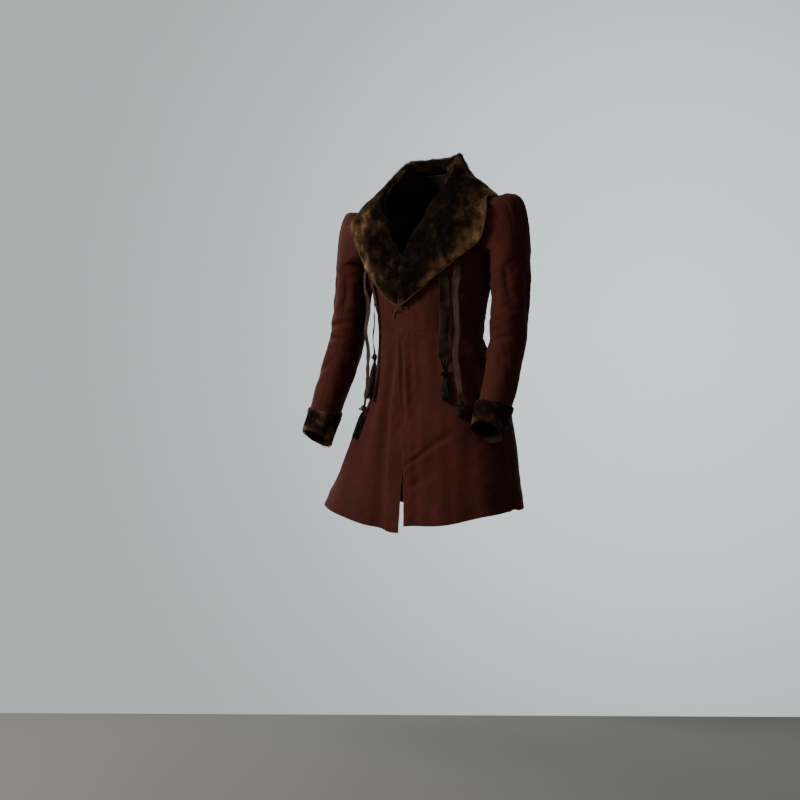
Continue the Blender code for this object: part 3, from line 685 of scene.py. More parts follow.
class Nodes:
    """A small helper to build a material's nodes."""

    def __init__(self, name, roughness, sheen=0.0, sheen_tint=(1, 1, 1), sheen_roughness=0.4, specular=0.3):
        self.stuff = bpy.data.materials.new(name)
        self.stuff.use_nodes = True
        self.tree = self.stuff.node_tree
        self.shader = self.tree.nodes["Principled BSDF"]
        self.shader.inputs["Roughness"].default_value = roughness
        self.shader.inputs["Sheen Weight"].default_value = sheen
        self.shader.inputs["Sheen Tint"].default_value = (*sheen_tint, 1.0)
        self.shader.inputs["Sheen Roughness"].default_value = sheen_roughness
        self.shader.inputs["Specular IOR Level"].default_value = specular

    def add(self, kind, **inputs):
        node = self.tree.nodes.new(kind)
        for key, value in inputs.items():
            self.put(node.inputs[key.replace("_", " ")], value)
        return node

    def put(self, socket, value):
        if isinstance(value, bpy.types.NodeSocket):
            self.tree.links.new(value, socket)
        else:
            socket.default_value = value

    def named(self, name, output="Fac"):
        node = self.tree.nodes.new("ShaderNodeAttribute")
        node.attribute_name = name
        return node.outputs[output]

    def axes(self, vector):
        return self.add("ShaderNodeSeparateXYZ", Vector=vector).outputs

    def maths(self, operation, *values):
        node = self.tree.nodes.new("ShaderNodeMath")
        node.operation = operation
        for socket, value in zip(node.inputs, values):
            self.put(socket, value)
        return node.outputs[0]

    def total(self, *terms):
        """The sum of values, each with its weight."""
        result = 0.0
        for value, weight in terms:
            result = self.maths("MULTIPLY_ADD", value, weight, result)
        return result

    def noise(self, vector, scale, detail=3.0, roughness=0.55):
        sizes = {"Scale": scale, "Detail": detail, "Roughness": roughness}
        return self.add("ShaderNodeTexNoise", Vector=vector, **sizes).outputs["Fac"]

    def vectors(self, operation, first, second, output="Vector"):
        node = self.tree.nodes.new("ShaderNodeVectorMath")
        node.operation = operation
        self.put(node.inputs[0], first)
        self.put(node.inputs[1], second)
        return node.outputs[output]

    def stretched(self, vector, scale):
        return self.vectors("MULTIPLY", vector, scale)

    def place(self):
        return self.tree.nodes.new("ShaderNodeTexCoord").outputs["Object"]

    def mix(self, share, a, b):
        node = self.tree.nodes.new("ShaderNodeMix")
        node.data_type = "RGBA"
        self.put(node.inputs["Factor"], share)
        self.put(node.inputs[6], a if isinstance(a, bpy.types.NodeSocket) else (*a, 1.0))
        self.put(node.inputs[7], b if isinstance(b, bpy.types.NodeSocket) else (*b, 1.0))
        return node.outputs[2]

    def fade(self, value, low, high, at_low=0.0, at_high=1.0):
        node = self.tree.nodes.new("ShaderNodeMapRange")
        node.interpolation_type = "SMOOTHSTEP"
        for index, number in enumerate((value, low, high, at_low, at_high)):
            self.put(node.inputs[index], number)
        return node.outputs[0]

    def wave(self, value, length):
        """A smooth wave from -1 to 1 of that length along a value in metres."""
        return self.maths("SINE", self.maths("MULTIPLY", value, 2 * math.pi / length))

    def bump(self, height, strength, distance):
        node = self.add("ShaderNodeBump", Height=height, Strength=strength, Distance=distance)
        return node.outputs["Normal"]

    def done(self, colour, normal=None):
        self.put(self.shader.inputs["Base Color"], colour)
        if normal is not None:
            self.put(self.shader.inputs["Normal"], normal)
        return self.stuff


STITCH_IN = 0.005


def wool_stuff():
    """Fulled maroon broadcloth: a faint twill under a short nap, rubbed paler at edges and seams."""
    made = Nodes("wool", 0.88, sheen=0.06, sheen_tint=(1.0, 0.48, 0.38), sheen_roughness=0.4, specular=0.12)
    at = made.named("cloth", "Vector")
    x, y, _ = made.axes(at)
    twill = made.wave(made.maths("ADD", x, y), 0.00115)
    threads = made.noise(made.stretched(at, (1500.0, 600.0, 600.0)), 1.0, 2.0)
    nap = made.noise(made.stretched(at, (420.0, 130.0, 130.0)), 1.0, 4.0)
    patches = made.noise(at, 9.0, 4.0, 0.6)
    flecks = made.noise(at, 900.0, 2.0)
    colour = made.mix(made.fade(patches, 0.32, 0.7), (0.034, 0.0066, 0.0042), (0.05, 0.0094, 0.0058))
    colour = made.mix(made.fade(nap, 0.35, 0.75, 0.0, 0.55), colour, (0.028, 0.0054, 0.0036))
    colour = made.mix(made.fade(flecks, 0.62, 0.78, 0.0, 0.35), colour, (0.085, 0.022, 0.014))
    rim = made.named("rim")
    rubs = made.fade(nap, 0.3, 0.7, 0.25, 0.85)
    worn = made.maths("MULTIPLY", made.fade(rim, 0.0005, 0.004, 1.0, 0.0), rubs)
    colour = made.mix(worn, colour, (0.08, 0.021, 0.013))
    seam = made.named("seam")
    rubbed = made.maths("MULTIPLY", made.fade(seam, 0.0022, 0.007, 0.35, 0.0), made.fade(nap, 0.35, 0.7))
    colour = made.mix(rubbed, colour, (0.062, 0.014, 0.009))
    # A line of small stitches in from each pressed edge
    stitch = made.maths("ABSOLUTE", made.maths("SUBTRACT", rim, STITCH_IN))
    line = made.fade(stitch, 0.0003, 0.0007, 1.0, 0.0)
    dash = made.fade(made.wave(made.named("run"), 0.0031), -0.35, 0.25)
    pricked = made.maths("MULTIPLY", line, dash)
    colour = made.mix(made.maths("MULTIPLY", pricked, 0.55), colour, (0.02, 0.006, 0.005))
    sunk = made.fade(stitch, 0.0004, 0.0016, 1.0, 0.0)
    height = made.total((twill, 0.16), (threads, 0.9), (nap, 0.6), (pricked, -1.4), (sunk, -0.5))
    return made.done(colour, made.bump(height, 0.55, 0.00035))


def lining_stuff():
    """Dark twilled silk lining."""
    made = Nodes("lining", 0.72, sheen=0.02, specular=0.12)
    at = made.named("cloth", "Vector")
    x, y, _ = made.axes(at)
    twill = made.wave(made.maths("ADD", x, y), 0.0008)
    slubs = made.noise(made.stretched(at, (900.0, 60.0, 60.0)), 1.0, 3.0)
    patches = made.noise(at, 14.0, 3.0)
    colour = made.mix(made.fade(patches, 0.3, 0.7), (0.008, 0.005, 0.004), (0.014, 0.009, 0.007))
    colour = made.mix(made.fade(slubs, 0.5, 0.8, 0.0, 0.5), colour, (0.02, 0.013, 0.01))
    height = made.total((twill, 0.4), (slubs, 1.0))
    return made.done(colour, made.bump(height, 0.4, 0.0002))


def pile_stuff(name, backing):
    """Crushed gold-brown plush: the tone of each patch and hair runs from nearly black to old gold, and
    carries painted highlight and painted shade from the collars and cuffs.
    """
    made = Nodes(name, 0.52, sheen=0.04, sheen_tint=(1.0, 0.52, 0.26), sheen_roughness=0.3, specular=0.06)
    at = made.named("cloth", "Vector")
    tone = made.named("tone")
    fleck = made.noise(made.stretched(at, (700.0, 240.0, 240.0)), 1.0, 2.0)
    crushed = [made.noise(made.stretched(at, (1.0, 1.0, 0.6)), scale, 4.0, 0.65) for scale in (150.0, 55.0)]
    tone = made.total((tone, 1.0), (fleck, 0.3), (crushed[0], 0.42), (crushed[1], 0.34))
    tone = made.maths("SUBTRACT", tone, 0.53)  # half of the weights, so that the noises average to nothing
    ramp = made.tree.nodes.new("ShaderNodeValToRGB")
    made.put(ramp.inputs["Fac"], tone)
    stops = [
        (0.0, (0.004, 0.0022, 0.001)),
        (0.34, (0.013, 0.0066, 0.003)),
        (0.55, (0.056, 0.027, 0.011)),
        (0.78, (0.205, 0.11, 0.047)),
        (1.0, (0.46, 0.285, 0.135)),
    ]
    while len(ramp.color_ramp.elements) < len(stops):
        ramp.color_ramp.elements.new(0.5)
    for element, (place, shade) in zip(ramp.color_ramp.elements, stops):
        element.position = place
        element.color = (*shade, 1.0)
    colour = ramp.outputs["Color"]
    if backing:
        colour = made.mix(0.35, colour, (0.006, 0.004, 0.002))
    height = made.noise(made.stretched(at, (1300.0, 420.0, 420.0)), 1.0, 3.0)
    return made.done(colour, made.bump(height, 0.6, 0.0006))


def silk_stuff():
    """Dull ribbed silk ribbon: fine ribs across its width and a firm selvedge."""
    made = Nodes("silk", 0.6, specular=0.1)
    at = made.named("cloth", "Vector")
    ribs = made.wave(made.axes(at)["Y"], 0.0011)
    slubs = made.noise(made.stretched(at, (120.0, 1400.0, 1400.0)), 1.0, 2.0)
    patches = made.noise(at, 30.0, 3.0)
    colour = made.mix(made.fade(patches, 0.3, 0.7), (0.017, 0.0088, 0.005), (0.029, 0.0155, 0.009))
    colour = made.mix(made.fade(slubs, 0.5, 0.8, 0.0, 0.6), colour, (0.042, 0.023, 0.013))
    colour = made.mix(made.fade(made.named("rim"), 0.0004, 0.0012, 0.45, 0.0), colour, (0.034, 0.02, 0.013))
    height = made.total((ribs, 0.5), (slubs, 0.5))
    return made.done(colour, made.bump(height, 0.7, 0.00025))


def thread_stuff(name, dark, light, roughness):
    """Silk threads, with each one's own shade and a twist along it."""
    made = Nodes(name, roughness, sheen=0.03, sheen_tint=(1.0, 0.7, 0.5), specular=0.18)
    at = made.named("cloth", "Vector")
    strand = made.noise(made.stretched(at, (2600.0, 500.0, 2600.0)), 1.0, 2.0)
    patches = made.noise(at, 60.0, 2.0)
    colour = made.mix(made.fade(strand, 0.3, 0.75), dark, light)
    colour = made.mix(made.fade(patches, 0.45, 0.75, 0.0, 0.5), colour, dark)
    return made.done(colour, made.bump(strand, 0.7, 0.0003))


WOOL, LINING, SILK = wool_stuff(), lining_stuff(), silk_stuff()
PILE, BACKING = pile_stuff("plush_pile", False), pile_stuff("plush_ground", True)
THREAD = thread_stuff("silk_thread", (0.004, 0.0022, 0.0016), (0.013, 0.007, 0.0048), 0.55)
PIPING = thread_stuff("silk_cord", (0.04, 0.018, 0.008), (0.13, 0.066, 0.03), 0.5)


# Panels


def lap(turn):
    return LAP * smooth(turn, (12, 42), (1, 0))


def round_waves(turn, size, seed):
    """Waves that run round the body, the same at every height."""
    return waves(np.stack([turn * DEGREE, 0 * turn], -1), size, seed)


def waist_wobble(turn, z):
    """The waist seam isn't quite level."""
    near = np.exp(-(((z - WAIST) / 0.035) ** 2))
    return near * (0.0022 * round_waves(turn, 0.16, 41) - 0.004 * bump(turn + 4, 30))


def body_place(turn, z):
    return ring_point(BODY, turn, z + waist_wobble(turn, z))


def front_heights(dense):
    below = np.linspace(WAIST - WAIST_OVERLAP, ARMPIT, dense[0])
    beside = HOLE_Z - HOLE_HALF_HEIGHT * np.cos(np.linspace(0, np.pi, dense[1])[1:])
    above = np.linspace(SHOULDER_TIP, 0.0, dense[2])[1:]
    fine = WAIST - WAIST_OVERLAP + np.array([0.0006, 0.0013, 0.0022])
    top = -np.array([0.0024, 0.0012, 0.0005])
    return np.sort(np.concatenate([below, fine, beside, above, top]))


BODY_STEPS = (0.02, 2e-4)
INSET, SLEEVE_INSET = -0.1, -0.3  # degrees: neighbouring panels meet in the seam, with no gap between them


def cloth_panel(name, turn, z, out, edges, facing_edge=None):
    piece = cloth(f"wool_{name}", body_place, turn, z, BODY_STEPS, out, edges, facing_edge)
    return stand_for(piece, name)


def bodice_front(side):
    z = front_heights((40, 30, 26))
    outer = side_limit(z) - armhole_turn(z)
    low, high = (LEFT_EDGE("turn", z), outer - INSET) if side > 0 else (-outer + INSET, RIGHT_EDGE("turn", z))
    share = shares(50, 0.24)
    turn = low[:, None] + (high - low)[:, None] * share
    z = np.broadcast_to(z[:, None], turn.shape)
    out = folds(turn, z) + body_crease(turn, z) * (0.35 + 0.65 * smooth(z, (-0.2, -0.12), (1, 0)))
    out = out + (lap(turn) if side > 0 else 0.0)
    edges = {"bottom": "seam", "top": "open"}
    edges.update({"low": "open", "high": "seam"} if side > 0 else {"low": "seam", "high": "open"})
    facing_edge = "low" if side > 0 else "high"
    return cloth_panel(f"bodice_front_{word(side)}", turn, z, out, edges, facing_edge)


def skirt_front(side):
    drop = (1 - shares(88, 0.5))[:, None]
    level = WAIST + (HEM("z", 0) - WAIST) * drop[:, 0]
    outer = SIDE_SEAM("turn", level)
    low, high = (LEFT_EDGE("turn", level), outer) if side > 0 else (-outer, RIGHT_EDGE("turn", level))
    turn = low[:, None] + (high - low)[:, None] * shares(78, 0.3)
    top = WAIST + WAIST_OVERLAP
    hem = HEM("z", turn) + HEM_WAVE * round_waves(turn, 0.11, 31)
    z = top + (hem - top) * drop
    out = folds(turn, z) + body_crease(turn, z) + (lap(turn) if side > 0 else 0.0)
    # The pleat's edge stands a little proud of the back skirt, and the front edge swings free at the hem.
    away = np.abs(turn) - SIDE_SEAM("turn", z)
    out = out + 0.0035 * smooth(z, (-0.72, -0.46), (1, 0)) * smooth(away, (-9, -1), (0, 1))
    edges = {"top": "seam", "bottom": "open"}
    edges.update({"low": "open", "high": "pleat"} if side > 0 else {"low": "pleat", "high": "open"})
    return cloth_panel(f"skirt_front_{word(side)}", turn, z, out, edges, "low" if side > 0 else "high")


def back(side):
    skirt = 1 - shares(84, 0.48, (0.0, 0.0005, 0.0014))
    level = WAIST + (HEM("z", 180) - WAIST) * skirt
    upper = front_heights((34, 30, 26))
    upper = upper[upper > WAIST + 0.002]
    heights = np.concatenate([level, upper])
    underlay = smooth(heights, (-0.62, -0.47), (7, 0))
    below, above = side_limit(heights) - underlay, HOLE_TURN + armhole_turn(heights)
    inner = np.where(heights < ARMPIT, below, above) + INSET
    turn = side * (inner[:, None] + (180 - INSET - inner)[:, None] * shares(54, 0.26))
    hem_share = np.concatenate([skirt, np.zeros(len(upper))])[:, None]
    hem = HEM("z", turn) + HEM_WAVE * round_waves(np.abs(turn), 0.11, 32)
    z = np.where(hem_share > 0, WAIST + (hem - WAIST) * hem_share, heights[:, None]) + 0 * turn
    tucked = smooth(z, (-0.48, WAIST), (1, 0)) * smooth(np.abs(turn) - SIDE_SEAM("turn", z), (0, 12), (1, 0))
    high = smooth(z, (-0.2, -0.1), (1, 0.3))
    out = folds(turn, z) + body_crease(turn, z) * high - 0.0075 * tucked
    if side < 0:
        turn, z, out = turn[:, ::-1], z[:, ::-1], out[:, ::-1]
    free = smooth(z, (-0.6, -0.45), (0, 1))
    edges = {"bottom": "open", "top": "open"}
    side_edge, centre_edge = ("low", "high") if side > 0 else ("high", "low")
    edges.update({side_edge: ("seam", free), centre_edge: "seam"})
    return cloth_panel(f"back_{word(side)}", turn, z, out, edges)


def sleeve(side, upper):
    turns = (FRONT_SEAM, BACK_SEAM) if upper else (BACK_SEAM, FRONT_SEAM + 360)
    low, high = sorted(side * turn for turn in turns)
    low, high = low + SLEEVE_INSET, high - SLEEVE_INSET
    columns = 70 if upper else 50
    turn = (low + (high - low) * shares(columns, 0.15))[None, :]
    along = (1 - shares(112, 0.56, (0.0, 0.0006, 0.0016)))[:, None]
    turn, along = np.broadcast_arrays(turn, along)

    def place(at_turn, at_along):
        return sleeve_point(side, at_turn, at_along)

    out = sleeve_crease(side, turn, along) * smooth(along, (0.83, 0.89), (1, 0))
    name = f"sleeve_{'upper' if upper else 'under'}_{word(side)}"
    edges = {"low": "seam", "high": "seam", "bottom": "none"}
    piece = cloth(f"wool_{name}", place, turn, along, (0.5, -0.002), out, edges)
    return stand_for(piece, name)


# Plush


def plush_tone(points, painted_light, seed):
    """How far towards old gold the pile's tone goes: crushed patches, plus painted highlight and shade in the
    last term, which lights up the collar's outer edge.
    """
    patches = 0.55 * waves(points, 0.05, seed) + 0.45 * waves(points, 0.022, seed + 1)
    swirls = waves(points, 0.085, seed + 2)
    ridged = 1.0 - np.abs(waves(points, 0.06, seed + 3))
    # The last term is painted light: a painted highlight and painted shade added to the tone.
    return 0.17 + 0.18 * patches + 0.1 * swirls + 0.1 * np.clip(ridged, -1, 1) + 0.54 * painted_light


def pile(name, grid, tone, count, seed, node, comb, length=(0.0058, 0.0088), trim=False):
    """Hairs of plush over a grid of points: slim closed spikes that lie over in swirls."""
    rng = np.random.default_rng(seed)
    columns = grid.shape[1]
    side_u = grid[:-1, 1:] - grid[:-1, :-1]
    side_v = grid[1:, :-1] - grid[:-1, :-1]
    area = np.linalg.norm(np.cross(side_u, side_v), axis=-1).ravel()
    chosen = np.searchsorted(np.cumsum(area), rng.uniform(0, area.sum(), count))
    chosen = np.minimum(chosen, area.size - 1)
    i, j = np.divmod(chosen, columns - 1)
    u, v = rng.uniform(size=(2, count, 1))

    def blend(field):
        low = field[i, j] * (1 - u) + field[i, j + 1] * u
        high = field[i + 1, j] * (1 - u) + field[i + 1, j + 1] * u
        return low * (1 - v) + high * v

    root = blend(grid)
    near_edge = np.clip((i + v[:, 0] - 0.6) / 3.0, 0.0, 1.0)[:, None] if trim else 1.0
    normal = unit(np.cross(side_u, side_v))[i, j]
    down = unit(-side_v[i, j])
    across = np.cross(normal, down)
    swirl = comb + 0.95 * waves(root, 0.055, seed + 5)[:, None] + 0.45 * waves(root, 0.02, seed + 6)[:, None]
    swirl = swirl + rng.normal(0, 0.22, (count, 1))
    lie = unit(down * np.cos(swirl) + across * np.sin(swirl))
    rise = 0.3 + 0.16 * waves(root, 0.03, seed + 7)[:, None] + rng.normal(0, 0.09, (count, 1))
    rise = np.clip(rise, 0.08, 0.75)
    reach = rng.uniform(*length, (count, 1)) * (0.3 + 0.7 * near_edge)
    tip = root + (lie * np.cos(rise) + normal * np.sin(rise)) * reach
    half = rng.uniform(0.0003, 0.00046, (count, 1))
    beside = np.cross(normal, lie)
    root = root - normal * 0.0004
    third = root + normal * half * 0.9 - lie * half
    corners = np.stack([root + beside * half, root - beside * half, third, tip], 1)
    start = 4 * np.arange(count)[:, None]
    faces = np.concatenate([start + turn for turn in ([0, 1, 3], [1, 2, 3], [2, 0, 3], [0, 2, 1])])
    hair_tone = blend(tone[..., None])[:, 0] + rng.normal(0, 0.085, count)
    values = {
        "tone": (hair_tone[:, None] + np.array([-0.1, -0.1, -0.12, 0.13])).ravel(),
        "cloth": corners.reshape(-1, 3),
    }
    piece = finish_mesh(name, corners, faces.tolist(), [PILE], values)
    return stand_for(piece, node)


COLLAR_COLUMNS, FALL_ROWS, ROLL_ROWS, STAND_ROWS = 132, 40, 8, 6


def collar_grid(side):
    """The fall from the outer edge up to the roll, round it, and down the stand to the neckline."""
    along = np.linspace(0, 1, COLLAR_COLUMNS + 1)
    length = np.linalg.norm(fall_point(side, along, 0.0) - fall_point(side, along, 1.0), axis=-1)
    first = ROLL_RADIUS / length
    falling = first + (1 - first) * np.linspace(1, 0, FALL_ROWS + 1)[:, None]
    rows = [fall_point(side, along, share) for share in falling]
    start = rows[-1]
    inward = unit(start - fall_point(side, along, first + 0.03))
    outward = unit(np.cross(np.gradient(start, axis=0), inward) * -side)
    foot_turn, foot_z, foot_out, roll = (COLLAR_FOOT(name, along) for name in ("turn", "z", "out", "roll"))
    foot, roll = on_form(BODY, side * foot_turn, foot_z, foot_out), roll[:, None]
    bend = math.radians(ROLL_BEND) * np.maximum(roll, 0.03)
    sweep = ROLL_RADIUS * math.radians(ROLL_BEND) * (roll + 0.35 * (1 - roll))
    for step in range(1, ROLL_ROWS + 1):
        angle = bend * step / ROLL_ROWS
        rows.append(start + (inward * np.sin(angle) - outward * (1 - np.cos(angle))) * sweep / bend)
    onward = inward * np.cos(bend) - outward * np.sin(bend)
    lip = rows[-1] + onward * 0.002
    last = foot * roll + lip * (1 - roll)
    before = rows[-1]
    rows += [before + (last - before) * step / STAND_ROWS for step in range(1, STAND_ROWS + 1)]
    grid = np.array(rows)
    grid[:, 0, 0] = -side * 0.0001  # the halves meet in the seam, with no gap between them
    return grid[:, ::-1] if side > 0 else grid


def grid_normals(grid, closed=False):
    if closed:
        return grid_normals(np.concatenate([grid[:, -2:], grid, grid[:, :2]], 1))[:, 2:-2]
    return unit(np.cross(np.gradient(grid, axis=1), np.gradient(grid, axis=0)))


def plush_shell(name, grid, thickness, tone, closed=False, seam_column=None):
    """The plush's ground over a grid of its outer face, with its wool under side.

    The column of points at a centre seam stays in the seam's plane.
    """
    normal = grid_normals(grid, closed)
    across, up = arc(grid, 1), arc(grid, 0)
    distance = np.minimum(up, up[-1:] - up)
    if not closed:
        distance = np.minimum(distance, np.minimum(across, across[:, -1:] - across))
    rounding = 0.0011 * np.clip(1 - distance / 0.0035, 0, 1) ** 2
    outer = grid - normal * (0.0014 + rounding)[..., None]
    inner = grid - normal * (thickness - rounding * 0.4)[..., None]
    if seam_column is not None:
        for face in (outer, inner):
            face[:, seam_column, 0] = grid[:, seam_column, 0]
    values = {"tone": tone, "seam": up * 0 + 1.0, "rim": distance, "run": across}
    values["cloth"] = np.stack([across, up, 0 * up], -1)
    return shell(name, outer, inner, [BACKING, WOOL], values, closed=closed)


def collar(side):
    smooth_grid = collar_grid(side)
    normal = grid_normals(smooth_grid)
    share = np.clip(np.linspace(1, -0.25, smooth_grid.shape[0]), 0, 1)[:, None] + 0.0 * smooth_grid[..., 0]
    lumps = 0.0013 * waves(smooth_grid, 0.06, 51 + side) + 0.0007 * waves(smooth_grid, 0.024, 55 + side)
    lumps = lumps + 0.0016 * waves(smooth_grid, 0.11, 57 + side) * share
    calm = np.clip(np.arange(smooth_grid.shape[0])[::-1, None] / 14.0, 0, 1)
    ends = np.minimum(np.arange(COLLAR_COLUMNS + 1), COLLAR_COLUMNS - np.arange(COLLAR_COLUMNS + 1))
    middle = np.clip(ends[None, :] / 6.0, 0, 1)
    grid = smooth_grid + normal * (lumps * calm * middle)[..., None]
    # Painted highlight and shade: the pile is lighter over the outer part of the fall and in a band over the
    # shoulder, where it faces the lamps, and darker towards the front tip.
    reach = np.linspace(0, 1, COLLAR_COLUMNS + 1)[None, :: -side]
    collar_painted_light = share**2 * smooth(reach, (0.72, 0.92), (1.0, 0.3))
    collar_painted_light = collar_painted_light + 0.3 * smooth(reach, (0.25, 0.42, 0.6), (0.3, 1.0, 0.0))
    tone = plush_tone(grid, collar_painted_light, 60 + side)
    name = f"collar_{word(side)}"
    base = plush_shell(f"plush_{name}", grid, COLLAR_THICK, tone, seam_column=-1 if side > 0 else 0)
    stand_for(base, name)
    hairs = pile(f"pile_{name}", grid, tone, COLLAR_HAIRS, 70 + side, name, 0.35 * side, trim=True)
    return base, hairs, grid


CUFF_COLUMNS, CUFF_ROWS = 96, 20


def cuff(side):
    turn = np.linspace(0, 360, CUFF_COLUMNS, endpoint=False)[None, :]
    rise = np.linspace(0, 1, CUFF_ROWS)[:, None]
    depth = CUFF_FRONT + (CUFF_BACK - CUFF_FRONT) * (1 - np.cos(np.radians(turn))) / 2
    along = 1.0 + CUFF_BEYOND - depth / ARM_LENGTH * rise
    full = 0.0006 * np.sin(np.pi * rise) ** 0.5
    grid = sleeve_point(side, turn, along, (CUFF_OUT + 0.0024 + full)[..., None])
    normal = grid_normals(grid, closed=True)
    lumps = 0.0008 * waves(grid, 0.035, 81 + side) + 0.0005 * waves(grid, 0.016, 83 + side)
    grid = grid + normal * lumps[..., None]
    # Painted shade: the left cuff, on the side away from the key light, gets a darker tone than the right
    # one; both are lighter towards their edges.
    tone = plush_tone(grid, (0.12 if side > 0 else 0.34) + 0.35 * np.abs(rise * 2 - 1) + 0 * turn, 84 + side)
    name = f"cuff_{word(side)}"
    base = plush_shell(f"plush_{name}", grid, CUFF_THICK, tone, closed=True)
    stand_for(base, name)
    around = np.concatenate([grid, grid[:, :1]], 1)
    around_tone = np.concatenate([tone, tone[:, :1]], 1)
    seed = 90 + side
    hairs = pile(f"pile_{name}", around, around_tone, CUFF_HAIRS, seed, name, 0.25 * side, (0.0042, 0.0064))
    return base, hairs


# Cords, ribbons and tassels


def across_path(path):
    """Two directions square to a path at each of its points."""
    forward = unit(np.gradient(path, axis=0))
    beside = unit(np.cross(forward, [0.31, 0.27, 0.91]))
    return beside, np.cross(beside, forward)


def tube(path, radius, sides, phase=0.0):
    """Rings of points round a path."""
    path = np.asarray(path, float)
    beside, upward = across_path(path)
    angle = np.linspace(0, 2 * np.pi, sides, endpoint=False) + phase
    radius = np.broadcast_to(np.asarray(radius, float), (len(path),))
    ring = beside[:, None] * np.cos(angle)[None, :, None] + upward[:, None] * np.sin(angle)[None, :, None]
    return path[:, None] + ring * radius[:, None, None]


def ring_faces(count, sides, start):
    i, j = np.meshgrid(np.arange(count - 1), np.arange(sides), indexing="ij")
    k = (j + 1) % sides
    low, high = start + i * sides, start + (i + 1) * sides
    faces = np.stack([low + j, low + k, high + k, high + j], -1).reshape(-1, 4).tolist()
    faces.append([start + j for j in reversed(range(sides))])
    faces.append([start + (count - 1) * sides + j for j in range(sides)])
    return faces


class Bundle:
    """Closed tubes gathered into one piece."""

    def __init__(self):
        self.points, self.faces, self.cloth, self.count = [], [], [], 0

    def add(self, path, radius, sides=5, phase=0.0, offset=0.0):
        rings = tube(path, radius, sides, phase)
        count = len(rings)
        run = arc(rings.mean(1), 0) + offset
        around = np.linspace(0, 0.004, sides)
        where = np.broadcast_arrays(around[None, :] + offset, run[:, None], around[None, :])
        self.cloth.append(np.stack(where, -1).reshape(-1, 3))
        self.faces += ring_faces(count, sides, self.count)
        self.points.append(rings.reshape(-1, 3))
        self.count += count * sides

    def piece(self, name, stuff, node, slot):
        values = {"cloth": np.concatenate(self.cloth)}
        made = finish_mesh(name, np.concatenate(self.points), self.faces, [stuff], values)
        return stand_for(made, node)


def even(path, step):
    """The path's points, spaced evenly."""
    path = np.asarray(path, float)
    run = np.concatenate([[0], np.cumsum(np.linalg.norm(np.diff(path, axis=0), axis=1))])
    at = np.linspace(0, run[-1], max(int(run[-1] / step), 2) + 1)
    return np.stack([np.interp(at, run, path[:, axis]) for axis in range(3)], -1), at


def twisted(bundle, path, radius, pitch, strands=2, step=0.0012, start=0.0):
    """A twisted cord along a path."""
    path, run = even(path, step)
    beside, upward = across_path(path)
    for strand in range(strands):
        angle = (2 * np.pi * (run / pitch + strand / strands) + start)[:, None]
        offset = (beside * np.cos(angle) + upward * np.sin(angle)) * radius * 0.48
        taper = np.clip(np.minimum(run, run[-1] - run) / 0.0015, 0.25, 1)
        bundle.add(path + offset, radius * 0.58 * taper, 5, offset=strand * 0.01)


def collar_cord(side, grid):
    """The cord along the collar's outer edge, whose end crosses the other one at the front."""
    edge, inside = grid[0], grid[3]
    beyond = unit(edge - inside)
    outward = grid_normals(grid)[0]
    points = edge + beyond * 0.0022 - outward * 0.0008
    if side < 0:
        points = points[1:]
        tail = points[-1] + np.array([[0.002, -0.0006, -0.0016], [0.0044, -0.0012, -0.003]])
        points = np.concatenate([points, tail])
    else:
        points = points[:-1]
        front = body(np.array([-19.0, -17.0, -15.0]), np.array([-0.397, -0.386, -0.376]), LAP + 0.0026)
        points = np.concatenate([front, points])
    bundle = Bundle()
    twisted(bundle, points, CORD_RADIUS, side * CORD_PITCH)
    name = f"collar_cord_{word(side)}"
    return bundle.piece(f"twist_{name}", PIPING, name, "cord")


def ribbon_path(row, count):
    """The ribbon's middle line, which lies on the coat at first, then hangs plumb, and its directions."""
    top = row.top
    z = np.linspace(row.bottom, top, count)
    path = body(row.turn, np.maximum(z, top - RIBBON_HANGS), RIBBON_TOP_CLEAR)
    path[:, 2] += np.minimum(z - (top - RIBBON_HANGS), 0.0)
    for _ in range(3):
        at = np.degrees(np.arctan2(path[:, 0], -path[:, 1]))
        surface = body(at, z)
        out = np.hypot(path[:, 0], path[:, 1]) - np.hypot(surface[:, 0], surface[:, 1])
        share = np.clip((top - z) / 0.08, 0, 1)
        need = np.maximum(RIBBON_TOP_CLEAR + (row.clear - RIBBON_TOP_CLEAR) * share - out, 0.0)
        path = path + unit(path * [1, 1, 0]) * need[:, None]
    angle = math.radians(row.twist) * np.clip((top - z) / 0.12, 0, 1)[:, None]
    away = unit(path * [1, 1, 0])
    across = np.cross([0.0, 0.0, 1.0], away)
    return path, across * np.cos(angle) + away * np.sin(angle), away * np.cos(angle) - across * np.sin(angle)


